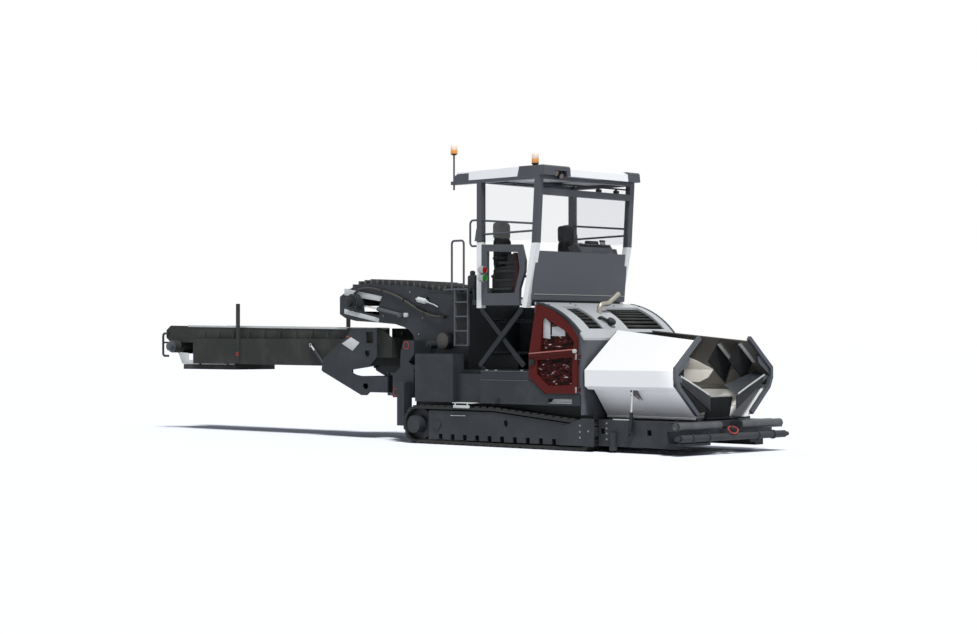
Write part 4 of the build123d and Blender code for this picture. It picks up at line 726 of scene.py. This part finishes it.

# Doors: pale plates behind the screen, latch, hinge leaves, the bar's end cap, and a painted highlight
# along the bar's top
plate_lines = (
    ((4.274, 1.880), (4.274, 2.189), (4.314, 2.218), (4.431, 2.130), (4.431, 1.861)),
    ((4.470, 1.909), (4.470, 2.063), (4.663, 2.071), (4.766, 1.985), (4.766, 1.908)))
plates = joined("door_plates_right", [
    side_piece("plate", line, y=-1.2615, thickness=0.006, edge=0.002) for line in plate_lines])
settle_pair(plates, pale_steel, "door_right")
latch = joined("door_latch_right", [
    box_piece("latch", (3.985, -1.318, 1.415), (4.105, -1.290, 1.515), edge=0.008),
    turned_piece("knob", ((0, 0), (0.016, 0), (0.014, 0.012), (0, 0.015)), (4.05, -1.317, 1.465), to_right,
                 steps=16)])
settle_pair(latch, black_paint, "door_right")
leaves = joined("door_hinge_leaves_right", [
    box_piece("leaf", (5.015, -1.304, level - 0.05), (5.052, -1.292, level + 0.05), edge=0.004)
    for level in (1.015, 1.566)])
settle_pair(leaves, edge_grey, "door_right")
bar_cap = turned_piece("door_bar_cap_right", (
    (0, -0.03), (0.034, -0.03), (0.036, 0.0), (0.03, 0.016), (0, 0.02)),
    (5.036, -1.327, 1.66), (1, 0, 0.07), steps=20)
settle_pair(bar_cap, pale_steel, "door_right")
# A thin lighter rod on the bar's top: a painted highlight along the bar
bar_highlight = bar_piece("door_bar_sleeve_right", (4.01, -1.334, 1.615), (5.01, -1.334, 1.685), radius=0.012,
                   edge=0.003, sides=12)
settle_pair(bar_highlight, highlight_maroon, "door_right")

# Chassis side: folded step, socket and deck fittings
step_piece = joined("side_step_right", [
    side_piece("tread", ((4.372, 0.776), (4.471, 0.858), (4.925, 0.866), (4.925, 0.778)),
               y=-1.205, thickness=0.012),
    plate_piece("lip", [(4.40, -1.205, 0.784), (4.92, -1.205, 0.784), (4.92, -1.275, 0.784),
                        (4.40, -1.275, 0.784)], (0, 0, 0.008), edge=0.002)])
settle_pair(step_piece, pale_steel, "chassis")
socket = joined("side_socket_right", [
    box_piece("plate", (3.16, -1.283, 0.752), (3.27, -1.268, 0.848), edge=0.004),
    turned_piece("lid", ((0, 0), (0.03, 0), (0.028, 0.008), (0.012, 0.010), (0.010, 0.014), (0, 0.014)),
                 (3.215, -1.282, 0.80), to_right, steps=18)])
settle_pair(socket, black_paint, "chassis")
fittings = joined("deck_fittings_right", [
    box_piece("fitting", (x - 0.02, -1.235, 1.305), (x + 0.02, -1.195, 1.335), edge=0.008)
    for x in (2.90, 3.12, 3.73)])
settle_pair(fittings, edge_grey, "chassis")

# Bolt columns on the track frame's front plate and on the front beam
columns = [(5.115, -1.293, level) for level in (0.230, 0.325, 0.429)]
columns += [(5.574, -1.150, level) for level in (0.213, 0.307, 0.392, 0.476)]
columns += [(5.298, -1.293, 0.340)]
settle_pair(spread_copies("front_bolts_right", bolt(to_right), columns), edge_grey, "chassis")

# Swing posts: red rings
ring = turned_piece("ring", ((0.060, 0), (0.072, 0), (0.073, 0.006), (0.059, 0.006)), (0, 0, 0), to_right,
                    steps=36)
rings = spread_copies("post_rings_right", ring, [(0.660, -1.0, 1.748), (0.385, -1.0, 0.893)])
settle_pair(rings, red_mark, "chassis")

# Scraper conveyor's sides: pale guide bars, clipped pipe, filter and bolts
casing_y, inside_casing_y = -0.648, -0.645
guide_lines = (
    ((-1.40, 2.827), (-0.347, 2.661), (-0.413, 2.571), (-1.40, 2.700)),
    ((-1.40, 2.440), (-0.430, 2.255), (-0.446, 2.176), (-1.40, 2.345)))
guides = joined("head_guides_right", [
    side_piece("guide", line, y=casing_y, thickness=0.016, edge=0.004) for line in guide_lines])
settle_pair(guides, liner_steel, "chassis")
pipe_line = [
    (-1.098, -0.70, 2.700), (-0.996, -0.69, 2.785), (-0.861, -0.685, 2.822), (-0.659, -0.68, 2.824),
    (-0.327, -0.68, 2.768), (0.002, -0.68, 2.688), (0.262, -0.68, 2.583), (0.519, -0.68, 2.457),
    (0.806, -0.685, 2.343), (1.02, -0.70, 2.29), (1.152, -0.714, 2.274), (1.33, -0.718, 2.261)]
settle(pipe_piece("head_pipe", pipe_line, radius=0.021), hose_cover, "chassis")
clips = [box_piece("clip", (x - 0.02, -0.708, z - 0.028), (x + 0.02, inside_casing_y, z + 0.028),
                   edge=0.006) for x, z in ((-0.327, 2.768), (0.262, 2.583), (0.806, 2.345))]
clips.append(box_piece("clip", (1.27, -0.745, 2.235), (1.37, -0.685, 2.29), edge=0.008))
settle(joined("head_pipe_clips", clips), black_paint, "chassis")
filter_body = joined("return_filter", [
    turned_piece("can", (
        (0, 0), (0.040, 0), (0.050, 0.012), (0.050, 0.20), (0.040, 0.215), (0.022, 0.22), (0.022, 0.27),
        (0, 0.27)), (0.653, -0.702, 2.590), (0.98, 0, -0.2), steps=24),
    bar_piece("pipe", (0.60, -0.702, 2.60), (0.68, -0.702, 2.585), radius=0.014),
    pipe_piece("tail", [(0.90, -0.702, 2.54), (1.0, -0.704, 2.505), (1.10, -0.712, 2.485),
                        (1.18, -0.705, 2.44)], radius=0.011)])
settle(filter_body, liner_steel, "chassis")
filter_feet = [box_piece("foot", (x - 0.03, -0.70, 2.53), (x + 0.03, inside_casing_y, 2.62), edge=0.006)
               for x in (0.70, 0.84)]
settle(joined("return_filter_feet", filter_feet), black_paint, "chassis")
bolt_places = [(x, -0.650, z) for x, z in ((0.723, 2.245), (-0.33, 2.299), (0.387, 2.727), (0.62, 1.95))]
settle_pair(spread_copies("casing_bolts_right", bolt(to_right), bolt_places), edge_grey, "chassis")


def chain_head(side, sign):
    """Model one side of the chain's head: tension cylinder with its stop, and the drive motor."""
    y = sign * 0.686
    barrel = joined(f"chain_tension_barrel_{side}", [
        bar_piece("barrel", (-0.414, y, 2.424), (0.144, y, 2.317), radius=0.034),
        bar_piece("collar", (-0.44, y, 2.429), (-0.40, y, 2.421), radius=0.040),
        box_piece("block", (0.13, y - 0.04, 2.265), (0.215, y + 0.04, 2.345), edge=0.008)])
    settle(barrel, panel_paint, "chassis")
    rod = bar_piece(f"chain_tension_rod_{side}", (-0.90, y, 2.505), (-0.42, y, 2.425), radius=0.018)
    settle(rod, bright_rod, "chassis")
    near, far = sorted((-sign * inside_casing_y, sign * 0.70))
    stop = box_piece(f"chain_tension_stop_{side}", (0.262, near, 2.265), (0.35, far, 2.345), edge=0.012)
    settle(stop, liner_steel, "chassis")
    hub_x, hub_y, hub_z = -1.047, sign * 0.80, 2.554
    motor = turned_piece(f"head_motor_{side}", (
        (0, 0), (0.125, 0), (0.125, 0.02), (0.085, 0.03), (0.080, 0.09), (0.05, 0.105), (0, 0.105)),
        (hub_x, hub_y, hub_z), (0, sign, 0))
    settle(motor, black_paint, "chassis")
    bolt_count, bolt_circle = 10, 0.143
    turns = [2 * math.pi * number / bolt_count for number in range(bolt_count)]
    places = [(hub_x + bolt_circle * math.cos(turn), hub_y, hub_z + bolt_circle * math.sin(turn))
              for turn in turns]
    bolts = spread_copies(f"head_motor_bolts_{side}", bolt((0, sign, 0)), places)
    settle(bolts, worn_steel, "chassis")


chain_head("right", -1)
chain_head("left", 1)

# Covers of the conveyor's lower drum and side motor
cover = turned_piece("drum_cover_cap", (
    (0, 0), (0.150, 0), (0.150, 0.012), (0.12, 0.026), (0.06, 0.034), (0, 0.034)),
    (1.390, -0.79, 1.825), to_right, steps=36)
settle(cover, drum_brown, "chassis")
motor_cap = turned_piece("side_motor_cap", (
    (0, 0), (0.075, 0), (0.075, 0.02), (0.05, 0.03), (0.045, 0.06), (0, 0.062)),
    (1.040, -0.79, 1.760), to_right)
settle(motor_cap, black_paint, "chassis")

# Ladder: a guard of crossed bars between the lowest rungs, and a dark sheet behind it, painted shade for
# the dark space behind the rungs
bars = [bar_piece("bar", (foot_x + step * 0.055, -1.0, 1.75), (head_x + step * 0.055, -1.0, 2.0),
                  radius=0.006, edge=0.001, sides=8)
        for foot_x, head_x in ((1.92, 1.98), (1.98, 1.92)) for step in range(4)]
settle(joined("ladder_guard", bars), black_paint, "chassis")
ladder_shade_sheet = side_piece("ladder_backing_right", ((1.57, 2.02), (1.89, 2.02), (1.89, 2.645), (1.57, 2.655)),
                     y=-0.689, thickness=0.008)
settle_pair(ladder_shade_sheet, louvre_black, "chassis")

# Swivel bracket: pale plate and red mark on the right, the same on the left
bracket_plate = side_piece("bracket_plate_right", (
    (-1.400, 1.780), (-1.143, 1.901), (-0.906, 1.796), (-1.099, 1.643)),
    y=-0.719, thickness=0.008, edge=0.002)
settle_pair(bracket_plate, liner_steel, "swivel_bracket")
mark = box_piece("bracket_mark_right", (-1.27, -0.728, 1.90), (-1.18, -0.716, 1.925), edge=0.004)
settle_pair(mark, red_mark, "swivel_bracket")


def belt_sides(name, outline, y, thickness):
    """Cut the same plate for both sides of the belt conveyor and join the two."""
    return joined(name, [side_piece("plate", outline, sign * y, thickness) for sign in (-1, 1)])


# Belt conveyor: pale edges on the boards, drum motor, tray strips, tail scraper and upright ring
board_edges = belt_sides("belt_board_edges", (
    (-1.42, 2.052), (-6.40, 2.123), (-6.40, 2.160), (-1.42, 2.089)), y=0.498, thickness=0.034)
settle(board_edges, pale_steel, "belt_conveyor")
drum_motor = turned_piece("belt_drum_motor", (
    (0, 0), (0.125, 0), (0.125, 0.02), (0.09, 0.03), (0.085, 0.10), (0.05, 0.115), (0, 0.115)),
    (-6.76, -0.66, 1.72), to_right)
settle(drum_motor, canopy_paint, "belt_conveyor")
tray_strips = belt_sides("tray_strips", (
    (-6.54, 1.352), (-4.90, 1.352), (-4.90, 1.372), (-6.54, 1.372)), y=0.50, thickness=0.018)
settle(tray_strips, liner_steel, "belt_conveyor")
scraper = belt_sides("tail_scraper", (
    (-6.75, 1.60), (-6.40, 1.58), (-6.40, 1.44), (-6.28, 1.44), (-6.28, 1.36), (-6.62, 1.36)),
    y=0.500, thickness=0.016)
settle(scraper, liner_steel, "belt_conveyor")
upright_ring = turned_piece("upright_ring", ((0.026, 0), (0.040, 0), (0.041, 0.006), (0.025, 0.006)),
                            (-4.652, -0.63, 1.568), to_right)
settle(upright_ring, red_mark, "belt_conveyor")

# Hopper's mouth: edge bars and faces on the aprons, rubber strip on the left, and a black sheet under the
# right apron as painted shade
apron_x, shade_sheet_x = 7.092, 7.066
apron_bar = pipe_piece("apron_bar_right", [(apron_x, y, z) for y, z in (
    (-1.110, 1.262), (-0.85, 1.156), (-0.579, 1.045), (-0.385, 0.955))], radius=0.014)
settle_pair(apron_bar, pale_steel, "wing_right")
apron_face = plate_piece("apron_face_right", [(apron_x, y, z) for y, z in (
    (-0.352, 0.925), (-1.08, 1.243), (-1.08, 1.155), (-0.352, 0.715))], (0.006, 0, 0), edge=0.002)
settle_pair(apron_face, black_paint, "wing_right")
apron_rubber = plate_piece("apron_rubber", [
    (7.079, 0.372, 0.945), (7.079, 1.135, 1.262), (6.93, 1.09, 1.33), (6.93, 0.22, 1.105)],
    (0.004, 0.002, -0.009), edge=0.002)
settle(apron_rubber, dark_paint, "wing_left")
# A black sheet just behind and below the right apron: painted shade where the hopper's inside shows under
# the apron
apron_shade_sheet = plate_piece("apron_fill_right", [(shade_sheet_x, y, z) for y, z in (
    (-0.352, 0.705), (-1.075, 1.19), (-1.035, 1.02), (-0.73, 0.64))], (0.012, 0, 0), edge=0.002)
settle(apron_shade_sheet, flap_black, "wing_right")
flap_bar = bar_piece("flap_edge_bar", (7.013, -0.322, 0.922), (7.013, 0.322, 0.922), radius=0.013)
settle(flap_bar, pale_steel, "flap")

# Inside of the far wing: baffles with pale flanges, corner liner and slope liner
wing_slope = Vector((0, -0.788, 0.616))
wing_inward = Vector((0, -0.616, -0.788))
wing_bend = Vector((0, 1.296, 1.348)) + wing_inward * 0.013


def on_wing(x, reach, depth=0.0):
    """Give a point at a reach up the wing's upper face from its bend, and at a depth inward from it."""
    spot = wing_bend + wing_slope * reach + wing_inward * depth
    return x, spot.y, spot.z


for number, (x, low_reach) in enumerate(((6.42, 0.23), (6.86, 0.25))):
    high_reach = low_reach + 0.50
    baffle = plate_piece(f"hopper_baffle_{number}", [
        on_wing(x, low_reach), on_wing(x, high_reach), on_wing(x, high_reach + 0.03, depth=0.40),
        on_wing(x, low_reach - 0.05, depth=0.40)], (0.012, 0, 0))
    settle(baffle, flap_black, "wing_left")
    face_x = x + 0.012
    flange = plate_piece(f"hopper_baffle_flange_{number}", [
        on_wing(face_x, low_reach), on_wing(face_x, high_reach), on_wing(face_x, high_reach, depth=0.035),
        on_wing(face_x, low_reach, depth=0.035)], (0.05, 0, 0), edge=0.004)
    settle(flange, liner_steel, "wing_left")
# Corner and slope liners take the liner colour lightened as painted light
corner_liner = joined("corner_liner", [
    plate_piece("corner_liner_low", [
        (5.262, 1.277, 1.12), (5.262, 1.283, 1.335), (5.90, 1.283, 1.335), (5.79, 1.279, 1.20),
        (5.60, 1.277, 1.12)], (0, -0.008, 0)),
    plate_piece("corner_liner_high", [on_wing(x, reach) for x, reach in (
        (5.262, 0.0), (5.90, 0.0), (5.66, 0.28), (5.43, 0.40), (5.262, 0.40))],
        tuple(wing_inward * 0.008))])
settle(corner_liner, lit_liner_plate, "wing_left")
slope_liner = plate_piece("slope_liner", [
    (5.40, 0.82, 0.749), (5.40, 1.03, 1.009), (6.72, 1.03, 1.009), (6.88, 0.82, 0.749)],
    (0, -0.0055, 0.0045), edge=0.002)
settle(slope_liner, lit_liner_plate, "wing_left")

# Front frame: red ring hung from the tow eye, caps on the rollers' pins and pale strips on the beam
ring_line = [
    (7.265, -0.05, 0.442), (7.30, -0.16, 0.43), (7.335, -0.20, 0.40), (7.349, -0.14, 0.345),
    (7.350, -0.05, 0.325), (7.349, 0.04, 0.35), (7.335, 0.066, 0.40), (7.30, 0.03, 0.43),
    (7.265, -0.01, 0.442)]
settle(pipe_piece("tow_ring", ring_line, radius=0.012), red_mark, "chassis")
pin_cap = turned_piece("roller_pin_caps", (
    (0, 0), (0.055, 0), (0.055, 0.008), (0.035, 0.012), (0.030, 0.006), (0, 0.006)),
    (7.21, -1.396, 0.465), to_right, steps=24)
settle(pin_cap, worn_steel, "chassis")
left_twin(pin_cap, "roller_pin_caps_left", "chassis")
beam_strip = box_piece("beam_strip_right", (5.70, -1.152, 0.535), (6.05, -1.10, 0.552), edge=0.004)
settle_pair(beam_strip, liner_steel, "chassis")

# Over the track: a hung foot step under the recess, a strip on the track frame, and beads on the side box
foot_step = joined("foot_step_right", [
    box_piece("plate", (2.14, -1.305, 0.737), (2.63, -1.08, 0.752), edge=0.004),
    box_piece("tread", (2.17, -1.312, 0.655), (2.56, -1.287, 0.705), edge=0.005),
    box_piece("hanger", (2.20, -1.306, 0.69), (2.225, -1.290, 0.745), edge=0.003),
    box_piece("hanger", (2.50, -1.306, 0.69), (2.525, -1.290, 0.745), edge=0.003)])
settle_pair(foot_step, liner_steel, "chassis")
frame_strip = side_piece("frame_strip_right", ((2.05, 0.510), (2.42, 0.516), (2.42, 0.530), (2.05, 0.524)),
                         y=-1.249, thickness=0.007, edge=0.002)
settle_pair(frame_strip, liner_steel, "chassis")
beads = joined("side_beads_right", [
    side_piece("bead", ((2.80, 1.148), (3.96, 1.148), (3.96, 1.162), (2.80, 1.162)),
               y=-1.2595, thickness=0.016, edge=0.004),
    side_piece("bead", ((2.80, 1.300), (3.96, 1.300), (3.96, 1.316), (2.80, 1.316)),
               y=-1.2580, thickness=0.008)])
settle_pair(beads, panel_paint, "chassis")


def stand(name, data, place, turn):
    """Add a camera or a lamp to the scene at its place."""
    item = bpy.data.objects.new(name, data)
    item.location = place
    item.rotation_euler = turn
    bpy.context.scene.collection.objects.link(item)
    return item


# Camera at the photograph's place, level, with its picture shifted up
camera_place, camera_heading = (26.965, -26.091, 1.81), math.radians(44)
camera_data = bpy.data.cameras.new("camera")
camera_data.lens = 73.7
camera_data.sensor_width = 36
camera_data.shift_y = 0.0256
camera_data.clip_end = 600
bpy.context.scene.camera = stand("camera", camera_data, camera_place, (math.radians(90), 0, camera_heading))

# Surround: white where the camera, a mirror or a pane sees it, a weak cool fill for all else
world = bpy.data.worlds.new("studio")
world.use_nodes = True
bpy.context.scene.world = world
world_tree = world.node_tree
link = linker(world_tree)
backdrop = world_tree.nodes["Background"]
backdrop.inputs["Color"].default_value = (1, 1, 1, 1)
fill = add_node(world_tree, "ShaderNodeBackground", Color=(0.82, 0.89, 1.0, 1), Strength=0.22)
rays = add_node(world_tree, "ShaderNodeLightPath")
mirrored = add_node(world_tree, "ShaderNodeMath", operation="MAXIMUM")
link(rays, "Is Transmission Ray", mirrored, 0)
link(rays, "Is Glossy Ray", mirrored, 1)
seen = add_node(world_tree, "ShaderNodeMath", operation="MAXIMUM")
link(rays, "Is Camera Ray", seen, 0)
link(mirrored, "Value", seen, 1)
pick = add_node(world_tree, "ShaderNodeMixShader")
link(seen, "Value", pick, "Fac")
link(fill, "Background", pick, 1)
link(backdrop, "Background", pick, 2)
link(pick, "Shader", world_tree.nodes["World Output"], "Surface")

# One broad sun from above
sun_data = bpy.data.lights.new("sun", "SUN")
sun_data.energy = 3.8
sun_data.angle = math.radians(13)
stand("sun", sun_data, (0, 0, 0), (math.radians(16), math.radians(24), 0))

# A soft lamp into the hopper's mouth
mouth_lamp_place, mouth_lamp_target = Vector((11.1, -5.8, 1.75)), Vector((5.65, 1.25, 1.25))
mouth_data = bpy.data.lights.new("mouth_lamp", "SPOT")
mouth_data.energy = 2600
mouth_data.spot_size = math.radians(9)
mouth_data.spot_blend = 0.8
mouth_data.shadow_soft_size = 0.3
mouth_turn = (mouth_lamp_target - mouth_lamp_place).to_track_quat("-Z", "Y").to_euler()
stand("mouth_lamp", mouth_data, mouth_lamp_place, mouth_turn)

# Plain pale floor that keeps the shadow
bpy.ops.object.select_all(action="DESELECT")
bpy.ops.mesh.primitive_plane_add(size=900)
floor = added("floor")
floor_material = bpy.data.materials.new("pale_floor")
floor_material.use_nodes = True
floor_shader = floor_material.node_tree.nodes["Principled BSDF"]
floor_shader.inputs["Base Color"].default_value = (0.80, 0.815, 0.875, 1)
floor_shader.inputs["Roughness"].default_value = 0.9
floor_shader.inputs["Specular IOR Level"].default_value = 0.0
floor.data.materials.append(floor_material)

bpy.context.scene.view_settings.view_transform = "Standard"
